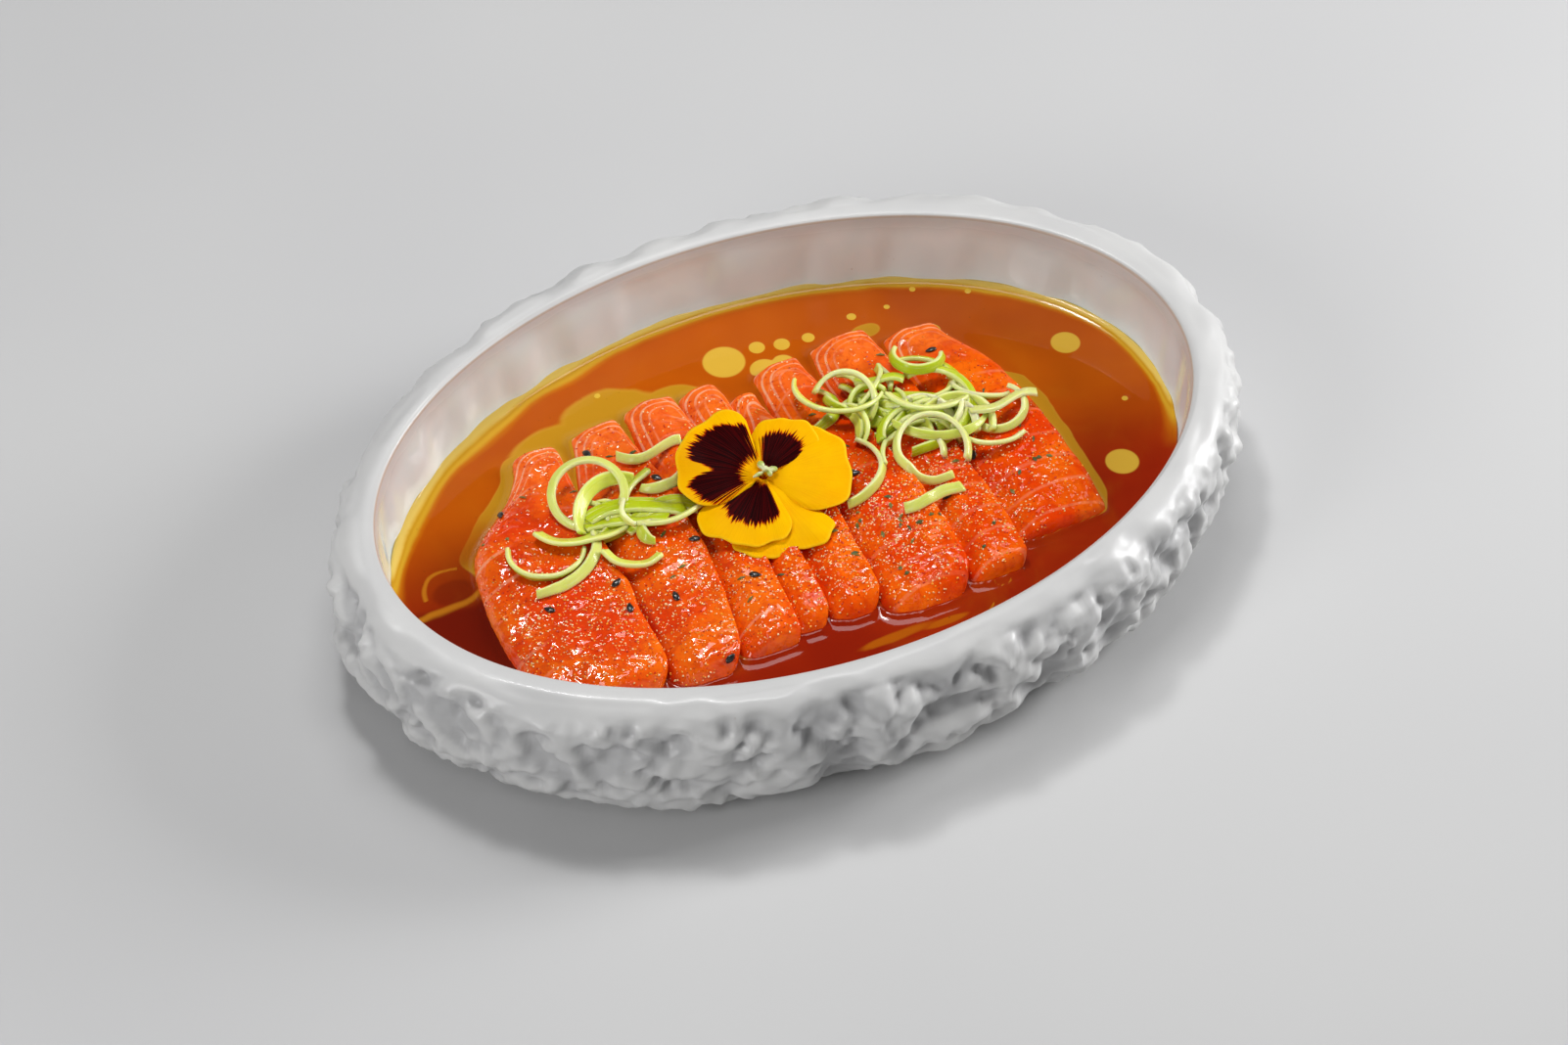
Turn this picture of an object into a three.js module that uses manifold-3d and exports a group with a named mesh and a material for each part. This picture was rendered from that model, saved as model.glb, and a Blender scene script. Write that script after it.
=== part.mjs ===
// A deep oval dish with a rock-textured outside, holding eight overlapping slices of raw salmon in a
// thin amber dressing, two heaps of shredded spring onion and one viola flower.
// Millimetres, +Z up. The origin is on the table, under the middle of the dish; X runs along the dish
// and the slices are laid side by side along X, each with its tip towards +Y.
import * as THREE from "three";
import { mergeVertices } from "three/addons/utils/BufferGeometryUtils.js";
import Module from "manifold-3d";

const wasm = await Module();
wasm.setup();

// Driving dimensions of the dish: the inner edge of its rim, and how far the outside stands off it.
const RIM_HALF_LENGTH = 118;
const RIM_HALF_WIDTH = 80.3;
const RIM_HEIGHT = 42.5;
const LIP_WIDTH = 11;
const BULGE = 14;
const ROCK_DEPTH = 2.4;
const FLOOR_THICKNESS = 4.4;
const FLOOR_BLEND = 24; // the wall turns into the flat floor this far inside the rim

const SAUCE_DEPTH_BELOW_RIM = 23;
const SAUCE_LEVEL = RIM_HEIGHT - SAUCE_DEPTH_BELOW_RIM;
const GAP = 0.35; // clearance kept between touching pieces

// ---------------------------------------------------------------- small helpers

const mix = (a, b, t) => a + (b - a) * t;
const clamp01 = (t) => Math.min(1, Math.max(0, t));
const smooth = (from, to, x) => {
  const t = clamp01((x - from) / (to - from));
  return t * t * (3 - 2 * t);
};

// A repeatable pseudo-random number for a cell of a 3-D lattice.
function cellValue(i, j, k) {
  const s = Math.sin(i * 127.1 + j * 311.7 + k * 74.7) * 43758.5453;
  return s - Math.floor(s);
}

// Rounded lumps: 1 at a lump's middle, falling to 0 in the creases between lumps.
function lumps(x, y, z, size) {
  const p = [x / size, y / size, z / size];
  const base = p.map(Math.floor);
  let nearest = 9;
  let second = 9;
  for (let i = -1; i <= 1; i++)
    for (let j = -1; j <= 1; j++)
      for (let k = -1; k <= 1; k++) {
        const c = [base[0] + i, base[1] + j, base[2] + k];
        const dx = c[0] + cellValue(c[0], c[1], c[2]) - p[0];
        const dy = c[1] + cellValue(c[1], c[2], c[0]) - p[1];
        const dz = c[2] + cellValue(c[2], c[0], c[1]) - p[2];
        const d = Math.hypot(dx, dy, dz);
        if (d < nearest) {
          second = nearest;
          nearest = d;
        } else if (d < second) second = d;
      }
  return smooth(0, 0.55, second - nearest);
}

// Moves every vertex of a geometry by a function of its place.
function warp(geometry, place) {
  const pos = geometry.attributes.position;
  const v = new THREE.Vector3();
  for (let i = 0; i < pos.count; i++) {
    v.fromBufferAttribute(pos, i);
    place(v);
    pos.setXYZ(i, v.x, v.y, v.z);
  }
  return geometry;
}

// A closed geometry with its shared vertices merged, and only positions left.
function welded(geometry) {
  const g = geometry.clone();
  g.deleteAttribute("normal");
  g.deleteAttribute("uv");
  return mergeVertices(g, 1e-3);
}

function toSolid(geometry) {
  const g = welded(geometry);
  return new wasm.Manifold(
    new wasm.Mesh({
      numProp: 3,
      vertProperties: g.attributes.position.array,
      triVerts: new Uint32Array(g.index.array),
    }),
  );
}

// The largest body of a cut solid, as a geometry. Slivers that a cut leaves over are dropped.
function toGeometry(solid) {
  const bodies = solid.decompose();
  bodies.sort((a, b) => b.volume() - a.volume());
  const mesh = bodies[0].getMesh();
  const g = new THREE.BufferGeometry();
  g.setAttribute("position", new THREE.BufferAttribute(mesh.vertProperties, 3));
  g.setIndex(new THREE.BufferAttribute(mesh.triVerts, 1));
  return g;
}

function mesh(name, geometry, color, roughness) {
  const material = new THREE.MeshStandardMaterial({ color, roughness, metalness: 0 });
  const part = new THREE.Mesh(geometry, material);
  part.name = name;
  return part;
}

// ---------------------------------------------------------------- dish

// The dish is a stack of ellipses. A profile point's radius is its half length; the half width
// keeps the same distance from the rim, and on the floor it shrinks in proportion.
function halfWidth(radius) {
  const floorEdge = RIM_HALF_LENGTH - FLOOR_BLEND;
  if (radius >= floorEdge) return RIM_HALF_WIDTH + radius - RIM_HALF_LENGTH;
  return (radius * (RIM_HALF_WIDTH - FLOOR_BLEND)) / floorEdge;
}

// From the middle of the floor up the inner wall to the rim's inner edge: [distance in from the rim, height].
const INNER_WALL = [
  [RIM_HALF_LENGTH, FLOOR_THICKNESS],
  [RIM_HALF_LENGTH * 0.5, FLOOR_THICKNESS + 0.2],
  [FLOOR_BLEND, FLOOR_THICKNESS + 0.9],
  [14, 7],
  [8, 10.5],
  [4.6, 15.7],
  [3.8, SAUCE_LEVEL],
  [2.6, 26],
  [1.2, 36],
  [0, RIM_HEIGHT],
];

// Over the lip, down the bulging outside and in under the foot: [distance out from the rim, height].
const OUTSIDE = [
  [1, RIM_HEIGHT + 0.9],
  [LIP_WIDTH * 0.4, RIM_HEIGHT + 1],
  [LIP_WIDTH * 0.8, RIM_HEIGHT + 0.5],
  [LIP_WIDTH, RIM_HEIGHT - 1.8],
  [BULGE - 1, RIM_HEIGHT - 6],
  [BULGE, RIM_HEIGHT - 13],
  [BULGE, RIM_HEIGHT - 20],
  [BULGE - 0.8, RIM_HEIGHT - 27],
  [BULGE - 3, RIM_HEIGHT - 33.5],
  [BULGE - 8, RIM_HEIGHT - 38.5],
  [-4, 1.8],
  [-11, 0],
  [-24, 0],
  [-26, 1.4],
  [-RIM_HALF_LENGTH, 1.4],
];
const ROCK_TOP = RIM_HEIGHT - 2;
const ROCK_FOOT = 4;

// The outside stands off further across one diagonal than across the other.
const SKEW = 1.3;
const SKEW_TURN = THREE.MathUtils.degToRad(40);

function rockRelief(x, y, z) {
  const band = smooth(ROCK_FOOT - 2, ROCK_FOOT + 6, z) * (1 - smooth(ROCK_TOP - 9, ROCK_TOP, z));
  return band * ROCK_DEPTH * (lumps(x, y, z, 17) - 0.45);
}

function dishGeometry() {
  const profile = [
    ...INNER_WALL.map(([inward, z]) => new THREE.Vector2(RIM_HALF_LENGTH - inward, z)),
    ...OUTSIDE.map(([outward, z]) => new THREE.Vector2(RIM_HALF_LENGTH + outward, z)),
  ].reverse();
  const round = new THREE.LatheGeometry(profile, 80);
  return warp(round, (v) => {
    const radius = Math.hypot(v.x, v.z);
    const angle = Math.atan2(v.z, v.x);
    const z = v.y;
    const outside = radius > RIM_HALF_LENGTH + 0.5 ? 1 : 0;
    const a = radius;
    const b = halfWidth(radius);
    const skew = SKEW * Math.cos(2 * (-angle - SKEW_TURN)) * smooth(0, ROCK_FOOT, z);
    const push = outside * (skew + rockRelief(a * Math.cos(angle), -b * Math.sin(angle), z));
    v.set((a + push) * Math.cos(angle), -(b + push) * Math.sin(angle), z);
  });
}

// Height of the dish's inner surface over a point of the plan.
function floorHeight(x, y) {
  for (let i = 1; i < INNER_WALL.length; i++) {
    const radius = RIM_HALF_LENGTH - INNER_WALL[i][0];
    const inside = Math.hypot(x / radius, y / halfWidth(radius));
    if (inside <= 1) {
      const inner = RIM_HALF_LENGTH - INNER_WALL[i - 1][0];
      const innerShare = inner > 0 ? 1 / Math.hypot(x / inner, y / halfWidth(inner)) : 0;
      const share = 1 / Math.max(inside, 1e-6);
      const t = clamp01((1 - innerShare) / Math.max(share - innerShare, 1e-6));
      return mix(INNER_WALL[i - 1][1], INNER_WALL[i][1], t);
    }
  }
  return RIM_HEIGHT;
}

// ---------------------------------------------------------------- salmon slices

const SLICE_FRONT_Y = -50;
const SLICE_MIDDLE_Y = -8;
const SLICE_BACK_Y = 30;
const TIP_START_Y = 14; // behind this the slices part into separate tips
const CREASE_GAP = 0.7;
const CREASE_LEAN = 0.42; // how far an overlapping side hangs over for each mm of height
const SLICE_FREEBOARD = 4.8; // how far the slices stand out of the dressing
const TOP_HEIGHT = SAUCE_LEVEL + SLICE_FREEBOARD;
const END_SLANT = 4;

// The lines between neighbouring slices, from the outline at the left to the outline at the right:
// x at the front, middle and back.
const CREASES = [
  [-89, -94, -83],
  [-58, -54.5, -54],
  [-38.5, -31, -31],
  [-20, -16.5, -13],
  [-10, -8, -1],
  [4.6, 7.5, 9],
  [30, 31, 27],
  [47, 48.7, 49.5],
  [74, 76.5, 72],
];

// Each slice's front end, and its tip: how far back it reaches, where it is and how wide.
const SLICES = [
  { frontY: -51, tipY: 45.5, tipX: -58, tipWidth: 12, height: 0.2 },
  { frontY: -54, tipY: 47.5, tipX: -38.5, tipWidth: 12, height: 0.3 },
  { frontY: -52, tipY: 49, tipX: -20.8, tipWidth: 13, height: 0.5 },
  { frontY: -50.5, tipY: 47.5, tipX: -6.6, tipWidth: 11, height: 0.1 },
  { frontY: -51.5, tipY: 39, tipX: 3.4, tipWidth: 7.5, height: 0.4 },
  { frontY: -57.5, tipY: 46, tipX: 17.5, tipWidth: 12.5, height: 0.9 },
  { frontY: -54.5, tipY: 48, tipX: 38.5, tipWidth: 16.5, height: 0.3 },
  { frontY: -47, tipY: 42.5, tipX: 58.5, tipWidth: 16, height: 0 },
];

// A crease's x at any y: a parabola through its three stated places.
function creaseX([front, middle, back], y) {
  const frontShare = ((y - SLICE_MIDDLE_Y) * (y - SLICE_BACK_Y)) /
    ((SLICE_FRONT_Y - SLICE_MIDDLE_Y) * (SLICE_FRONT_Y - SLICE_BACK_Y));
  const backShare = ((y - SLICE_FRONT_Y) * (y - SLICE_MIDDLE_Y)) /
    ((SLICE_BACK_Y - SLICE_FRONT_Y) * (SLICE_BACK_Y - SLICE_MIDDLE_Y));
  return front * frontShare + back * backShare + middle * (1 - frontShare - backShare);
}

// Left and right edge of a slice's top at a given y.
function sliceEdges(index, y) {
  const slice = SLICES[index];
  const toTip = smooth(TIP_START_Y, slice.tipY, y);
  const cornerRound = 5 * Math.pow(clamp01(1 - (y - slice.frontY) / 7), 2);
  const left = mix(creaseX(CREASES[index], y), slice.tipX - slice.tipWidth / 2, toTip);
  const right = mix(creaseX(CREASES[index + 1], y), slice.tipX + slice.tipWidth / 2, toTip);
  return [left + CREASE_GAP / 2 + cornerRound, right - CREASE_GAP / 2 - cornerRound];
}

// One slice. With room above 0 it comes out that much larger all round and reaches through the
// dish's floor, to cut its place out of what touches it.
function sliceGeometry(index, room = 0) {
  const slice = SLICES[index];
  const cube = new THREE.BoxGeometry(2, 2, 2, 4, 11, 2);
  return warp(cube, (p) => {
    const across = p.x;
    const up = (p.z + 1) / 2;
    const along = (p.y + 1) / 2;
    const plainY = mix(slice.frontY, slice.tipY, along);
    const [left, right] = sliceEdges(index, plainY);
    const plainX = mix(left, right, (across + 1) / 2);
    const taper = smooth(TIP_START_Y, slice.tipY, plainY);
    const endDrop = smooth(0.1, 0, along) + taper + 0.5 * smooth(0.95, 1, along);
    const crown = 1.3 * Math.pow(Math.abs(across), 3.5) + 0.6 * taper * across * across;
    const lipRise = 0.8 * across * (1 - taper);
    const top = TOP_HEIGHT + slice.height - endDrop - crown + lipRise + room;
    const outerLeft = index === 0 && across < 0;
    const outerRight = index === SLICES.length - 1 && across > 0;
    const lean = CREASE_LEAN * (outerLeft || outerRight ? 1 - Math.abs(across) : 1) * (1 - 0.6 * taper);
    const isEnd = Math.abs(p.y) > 0.99 ? Math.sign(p.y) : 0;
    const slant = END_SLANT * (smooth(0.12, 0, along) - smooth(0.9, 1, along));
    // the sides lean over to the left as they go down, and the ends lean in as they rise
    const place = (z) => [
      plainX - lean * (TOP_HEIGHT - z) + room * across,
      plainY + (slant * (z - FLOOR_THICKNESS)) / (TOP_HEIGHT - FLOOR_THICKNESS) + room * isEnd,
    ];
    const floor = floorHeight(plainX, plainY) + (room > 0 ? -room : GAP);
    const plainZ = mix(floor, top, up);
    const z = room > 0 ? plainZ : Math.max(plainZ, floorHeight(...place(plainZ)) + GAP);
    p.set(...place(z), z);
  });
}

// ---------------------------------------------------------------- dressing

// The pool of dressing fills the dish to its level, and stands up a little against the wall.
function sauceSolid() {
  const wall = INNER_WALL.filter(([, z]) => z <= SAUCE_LEVEL);
  const profile = wall.map(
    ([inward, z]) => new THREE.Vector2(Math.max(0, RIM_HALF_LENGTH - inward - GAP), z + GAP),
  );
  const edge = profile.at(-1);
  edge.y = SAUCE_LEVEL + 0.4;
  profile.push(new THREE.Vector2(edge.x - 2, SAUCE_LEVEL));
  profile.push(new THREE.Vector2(0, SAUCE_LEVEL));
  const pool = warp(new THREE.LatheGeometry(profile, 44), (v) => {
    const radius = Math.hypot(v.x, v.z);
    const angle = Math.atan2(v.z, v.x);
    v.set(radius * Math.cos(angle), -halfWidth(radius) * Math.sin(angle), v.y);
  });
  return sliceRooms.reduce((left, room) => left.subtract(room), toSolid(pool));
}

// ---------------------------------------------------------------- viola flower

const FLOWER = { x: -7.5, y: 0.5, z: 29.2, tilt: 9, heading: -26.8 };
const PETAL_THICKNESS = 1.2;

// Each petal: where it points (degrees from the flower's right), its length and width, and its
// place in the stack.
const PETALS = [
  { points: -62, length: 25, width: 25, lift: 0 },
  { points: 4, length: 26, width: 29, lift: 0.9 },
  { points: -104, length: 19, width: 24, lift: 1.3 },
  { points: 68, length: 20, width: 24, lift: 1.6 },
  { points: 176, length: 22, width: 31, lift: 2 },
];

// A rounded petal outline, narrow at the flower's middle.
function petalShape(length, width) {
  const shape = new THREE.Shape();
  shape.moveTo(0, -1.6);
  shape.bezierCurveTo(length * 0.3, -width * 0.42, length * 0.45, -width * 0.56, length * 0.75, -width * 0.47);
  shape.bezierCurveTo(length * 1.06, -width * 0.36, length * 1.06, width * 0.36, length * 0.75, width * 0.47);
  shape.bezierCurveTo(length * 0.45, width * 0.56, length * 0.3, width * 0.42, 0, 1.6);
  shape.closePath();
  return shape;
}

// The five petals and the heart under them. With room above 0 it comes out that much larger.
function flowerSolid(room = 0) {
  const heart = new THREE.CylinderGeometry(2.6 + room, 4 + room, 4.6 + 2 * room, 16);
  heart.rotateX(Math.PI / 2);
  heart.translate(0, 0, 1.6);
  return PETALS.reduce((whole, { points, length, width, lift }) => {
    const petal = new THREE.ExtrudeGeometry(petalShape(length + room, width + 2 * room), {
      depth: PETAL_THICKNESS + 2 * room,
      bevelEnabled: false,
      curveSegments: 6,
    });
    petal.translate(0, 0, lift - room);
    petal.rotateZ(THREE.MathUtils.degToRad(points));
    return whole.add(toSolid(petal));
  }, toSolid(heart));
}

// The flower leans on the heaps, turned and tilted, at its place over the middle of the slices.
function laid(flower) {
  flower.rotateX(THREE.MathUtils.degToRad(FLOWER.tilt));
  flower.rotateZ(THREE.MathUtils.degToRad(FLOWER.heading));
  flower.translate(FLOWER.x, FLOWER.y, FLOWER.z);
  return flower;
}

// ---------------------------------------------------------------- spring onion heaps

const HEAPS = {
  scallion_heap_left: { x: -52, y: 15, halfLength: 29, halfWidth: 20, turn: -8, top: 31.5, seed: 3 },
  scallion_heap_right: { x: 46, y: 11, halfLength: 36, halfWidth: 24, turn: -24, top: 32.5, seed: 8 },
};
const HEAP_BASE = 22;
const HEAP_UNDERSIDE = SAUCE_LEVEL + 0.8;

// An uneven mound out to the ends of its loose curls.
function heapGeometry({ x, y, halfLength, halfWidth: halfBreadth, turn, top, seed }) {
  const ball = new THREE.SphereGeometry(1, 24, 10);
  ball.rotateX(Math.PI / 2);
  return warp(ball, (v) => {
    const angle = Math.atan2(v.y, v.x);
    const ragged =
      1 +
      0.1 * Math.sin(angle * 3 + seed) +
      0.08 * Math.sin(angle * 7 + seed * 2.3) +
      0.05 * Math.sin(angle * 11 + seed * 4.1);
    const lumpy = 0.8 + 0.2 * lumps(v.x * halfLength, v.y * halfBreadth, seed * 10, 9);
    const height = v.z > 0 ? Math.pow(v.z, 0.8) * lumpy : v.z;
    const turned = new THREE.Vector2(v.x * halfLength * ragged, v.y * halfBreadth * ragged);
    turned.rotateAround(new THREE.Vector2(), THREE.MathUtils.degToRad(turn));
    const reach = v.z > 0 ? top - HEAP_BASE : HEAP_BASE - HEAP_UNDERSIDE;
    v.set(x + turned.x, y + turned.y, HEAP_BASE + reach * height);
  });
}

// ---------------------------------------------------------------- the whole plate

const CUT_ROOM = 0.45; // a little over half the crease gap, so that no film is left between slices
const sliceRooms = SLICES.map((_, index) => toSolid(sliceGeometry(index, CUT_ROOM)));

const flowerRoom = toSolid(laid(toGeometry(flowerSolid(CUT_ROOM))));

const plate = new THREE.Group();
plate.add(mesh("dish", dishGeometry(), 0xf1efec, 0.22));
plate.add(mesh("sauce", toGeometry(sauceSolid()), 0xb0560e, 0.08));
SLICES.forEach((_, index) => {
  plate.add(mesh(`salmon_slice_${index + 1}`, sliceGeometry(index), 0xf06330, 0.3));
});
plate.add(mesh("viola_flower", laid(toGeometry(flowerSolid())), 0xfcc30a, 0.6));
for (const [name, heap] of Object.entries(HEAPS)) {
  const whole = toSolid(heapGeometry(heap)).subtract(flowerRoom);
  const resting = sliceRooms.reduce((left, room) => left.subtract(room), whole);
  plate.add(mesh(name, toGeometry(resting), 0xbcd046, 0.45));
}

export default plate;
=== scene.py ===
import bpy
import math
import random
import numpy as np
from mathutils import Matrix, Vector
from mathutils.bvhtree import BVHTree


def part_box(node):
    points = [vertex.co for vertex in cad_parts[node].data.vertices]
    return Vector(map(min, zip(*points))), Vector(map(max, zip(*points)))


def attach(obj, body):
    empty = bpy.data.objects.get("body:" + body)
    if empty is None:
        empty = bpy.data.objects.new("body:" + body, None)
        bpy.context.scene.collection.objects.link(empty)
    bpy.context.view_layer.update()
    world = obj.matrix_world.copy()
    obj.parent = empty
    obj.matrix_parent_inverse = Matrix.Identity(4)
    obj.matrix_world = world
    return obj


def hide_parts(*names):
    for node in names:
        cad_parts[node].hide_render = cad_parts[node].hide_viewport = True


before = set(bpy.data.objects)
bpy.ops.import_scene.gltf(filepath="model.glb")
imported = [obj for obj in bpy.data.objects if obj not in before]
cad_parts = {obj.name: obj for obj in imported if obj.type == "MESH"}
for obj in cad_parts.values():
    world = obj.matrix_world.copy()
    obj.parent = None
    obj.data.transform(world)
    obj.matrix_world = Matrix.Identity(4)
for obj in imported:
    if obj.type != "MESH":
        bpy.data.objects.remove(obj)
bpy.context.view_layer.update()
mm = 0.001  # sizes and places below are in millimetres unless a note says otherwise


# small tools shared by the pieces

def deselectAll():
    if bpy.context.mode != "OBJECT":
        bpy.ops.object.mode_set(mode="OBJECT")
    bpy.ops.object.select_all(action="DESELECT")


def startPiece(name):
    # names what an operator has just added, and leaves it the only selected object
    piece = bpy.context.active_object
    piece.name = name
    piece.data.name = name
    return piece


def getPoints(piece):
    points = np.empty(len(piece.data.vertices) * 3)
    piece.data.vertices.foreach_get("co", points)
    return points.reshape(-1, 3) / mm


def setPoints(piece, points):
    piece.data.vertices.foreach_set("co", (points * mm).ravel())
    piece.data.update()


def getNormals(piece):
    normals = np.empty(len(piece.data.vertices) * 3)
    piece.data.vertices.foreach_get("normal", normals)
    return normals.reshape(-1, 3)


def paint(piece, name, values):
    # a number for each vertex, which the materials read by its name
    layer = piece.data.attributes.new(name, "FLOAT", "POINT")
    layer.data.foreach_set("value", np.asarray(values, dtype=np.float32))


def applyModifier(piece, kind, **settings):
    modifier = piece.modifiers.new(kind.title(), kind)
    for key, value in settings.items():
        setattr(modifier, key, value)
    deselectAll()
    bpy.context.view_layer.objects.active = piece
    piece.select_set(True)
    bpy.ops.object.modifier_apply(modifier=modifier.name)


def finishPiece(piece, slot, material, *nodes):
    # every piece rides on the one body, wears its material and stands in for its solids
    piece.data.materials.clear()
    piece.data.materials.append(material)
    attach(piece, "root")
    if nodes:
        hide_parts(*nodes)


def smooth(low, high, x):
    t = np.clip((x - low) / (high - low), 0, 1)
    return t * t * (3 - 2 * t)


def mix(a, b, t):
    return a + (b - a) * t


def cellHash(i, j, k, seed):
    h = (i * 73856093) ^ (j * 19349663) ^ (k * 83492791) ^ (seed * 7919 + 977)
    h = (h ^ (h >> 13)) * 1274126177
    h = (h ^ (h >> 16)) & 0xFFFFFF
    return h / 0xFFFFFF


def waves(points, size, seed):
    # smooth random hills from -1 to 1, about a size apart
    p = points / size
    base = np.floor(p).astype(np.int64)
    f = p - base
    f = f * f * f * (f * (f * 6 - 15) + 10)
    total = np.zeros(len(p))
    for corner in range(8):
        step = np.array([corner & 1, corner >> 1 & 1, corner >> 2])
        c = base + step
        share = np.prod(np.where(step == 1, f, 1 - f), axis=1)
        total += share * cellHash(c[:, 0], c[:, 1], c[:, 2], seed)
    return total * 2 - 1


# pieces laid out as grids, and joined pieces

def gridPiece(name, points):
    # a grid of faces from an operator, each corner put in its place: points[row][column] in mm
    rows, columns, _ = points.shape
    deselectAll()
    bpy.ops.mesh.primitive_grid_add(x_subdivisions=columns - 1, y_subdivisions=rows - 1, size=1)
    piece = startPiece(name)
    setPoints(piece, points.reshape(-1, 3))
    return piece


def joinPieces(name, parts):
    deselectAll()
    for part in parts:
        part.select_set(True)
    bpy.context.view_layer.objects.active = parts[0]
    bpy.ops.object.join()
    return startPiece(name)


def treeOver(pieces):
    # one search tree over several pieces, in metres
    corners, faces = [], []
    for piece in pieces:
        start = len(corners)
        corners += [v.co.copy() for v in piece.data.vertices]
        faces += [[start + i for i in p.vertices] for p in piece.data.polygons]
    return BVHTree.FromPolygons(corners, faces)


def spotOn(tree, x, y):
    # where a plumb line at x, y, from well above, meets the salmon, and the slope there
    hit, normal, _, _ = tree.ray_cast(Vector((x * mm, y * mm, 60 * mm)), Vector((0, 0, -1)))
    return None if hit is None else (hit, normal)


def closeUnderside(piece):
    # the open underside of a grid is closed with one face
    bpy.ops.object.mode_set(mode="EDIT")
    bpy.ops.mesh.select_all(action="SELECT")
    bpy.ops.mesh.region_to_loop()
    bpy.ops.mesh.edge_face_add()
    bpy.ops.mesh.select_all(action="SELECT")
    bpy.ops.mesh.normals_make_consistent(inside=False)
    bpy.ops.object.mode_set(mode="OBJECT")


# small tools for materials

class MaterialMaker:
    # a node material put together by short calls; every call gives back an output socket

    def __init__(self, name):
        self.material = bpy.data.materials.new(name)
        self.material.use_nodes = True
        self.nodes = self.material.node_tree.nodes
        self.links = self.material.node_tree.links
        self.shader = self.nodes["Principled BSDF"]
        self.place = self.nodes.new("ShaderNodeTexCoord").outputs["Object"]

    def put(self, socket, value):
        if isinstance(value, bpy.types.NodeSocket):
            self.links.new(value, socket)
        elif isinstance(value, tuple) and len(value) == 3 and socket.type == "RGBA":
            socket.default_value = (*value, 1)
        else:
            socket.default_value = value

    def set(self, **values):
        for name, value in values.items():
            self.put(self.shader.inputs[name.replace("_", " ")], value)

    def attribute(self, name):
        node = self.nodes.new("ShaderNodeAttribute")
        node.attribute_name = name
        return node.outputs["Fac"]

    def plane(self, across, up):
        # two attributes as the x and y of a pattern
        node = self.nodes.new("ShaderNodeCombineXYZ")
        self.put(node.inputs[0], self.attribute(across))
        self.put(node.inputs[1], self.attribute(up))
        return node.outputs[0]

    def stretched(self, source, scale):
        node = self.nodes.new("ShaderNodeMapping")
        self.put(node.inputs["Vector"], source)
        node.inputs["Scale"].default_value = scale
        return node.outputs["Vector"]

    def noise(self, scale, detail=3.0, rough=0.55, source=None, distortion=0.0):
        node = self.nodes.new("ShaderNodeTexNoise")
        self.put(node.inputs["Vector"], source or self.place)
        node.inputs["Scale"].default_value = scale
        node.inputs["Detail"].default_value = detail
        node.inputs["Roughness"].default_value = rough
        node.inputs["Distortion"].default_value = distortion
        return node.outputs["Fac"]

    def cells(self, scale):
        node = self.nodes.new("ShaderNodeTexVoronoi")
        self.put(node.inputs["Vector"], self.place)
        node.inputs["Scale"].default_value = scale
        return node.outputs["Distance"]

    def bands(self, scale, source, distortion):
        node = self.nodes.new("ShaderNodeTexWave")
        self.put(node.inputs["Vector"], source)
        node.inputs["Scale"].default_value = scale
        node.inputs["Distortion"].default_value = distortion
        node.inputs["Detail Scale"].default_value = 0.5
        return node.outputs["Fac"]

    def between(self, value, low, high, outLow=0.0, outHigh=1.0):
        node = self.nodes.new("ShaderNodeMapRange")
        node.interpolation_type = "SMOOTHSTEP"
        self.put(node.inputs["Value"], value)
        node.inputs["From Min"].default_value = low
        node.inputs["From Max"].default_value = high
        node.inputs["To Min"].default_value = outLow
        node.inputs["To Max"].default_value = outHigh
        return node.outputs["Result"]

    def math(self, operation, a, b=0.0):
        node = self.nodes.new("ShaderNodeMath")
        node.operation = operation
        self.put(node.inputs[0], a)
        self.put(node.inputs[1], b)
        return node.outputs[0]

    def times(self, a, b):
        return self.math("MULTIPLY", a, b)

    def sway(self, pattern, amount):
        # a pattern from 0 to 1 as a change of half the amount up and down
        return self.times(self.math("SUBTRACT", pattern, 0.5), amount)

    def blend(self, share, a, b):
        node = self.nodes.new("ShaderNodeMix")
        node.data_type = "RGBA"
        self.put(node.inputs["Factor"], share)
        self.put(node.inputs["A"], a)
        self.put(node.inputs["B"], b)
        return node.outputs["Result"]

    def cloudy(self, pattern, low, high, tones):
        # from the first tone to the second where the pattern goes from low to high
        return self.blend(self.between(pattern, low, high), *tones)

    def layers(self, colour, *coats):
        # tones laid over a colour one after another, each by its share
        for share, tone in coats:
            colour = self.blend(share, colour, tone)
        return colour

    def bump(self, height, strength, distance, below=None):
        node = self.nodes.new("ShaderNodeBump")
        node.inputs["Strength"].default_value = strength
        node.inputs["Distance"].default_value = distance * mm
        self.put(node.inputs["Height"], height)
        if below:
            self.put(node.inputs["Normal"], below)
        return node.outputs["Normal"]


# the dish

dishPlan = {
    "rimHalfLength": 118.0,
    "rimHalfWidth": 80.3,
    "rimHeight": 42.5,
    "floorBlend": 24.0,  # the wall's foot starts this far inside the rim
    "lipWidth": 11.0,
    "bulge": 13.6,  # how far the outside stands out past the rim's inner edge
    "skew": 1.3,  # how much it is out of true, and in which direction in degrees
    "skewTurn": 40.0,
    "columns": 160,
    # relief of the outside: size and depth
    "swells": (15.0, 1.9),
    "lumps": (6.5, 2.2),
    "dents": (3.5, 1.6),
    "grain": (1.9, 0.4),
    "flutes": (10.0, 1.3),  # soft waves down the inner wall
    "roughness": (0.40, 0.1),  # outside and inside
    "tones": {
        # painted light and shade: the same white glaze is darker outside and lighter, bluer inside, and the
        # inner blue also offsets the warm reflection of the dressing
        "outside": ((0.59, 0.588, 0.585), (0.63, 0.627, 0.62)),
        "inside": ((0.74, 0.84, 0.85), (0.80, 0.88, 0.88)),
        # painted shade laid over the hollows of the outside relief
        "hollowShade": (0.32, 0.32, 0.33),
        "edgeLine": (0.45, 0.27, 0.14),
        "pits": (0.42, 0.36, 0.3),
    },
}
sauceLevel = 19.5


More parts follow.
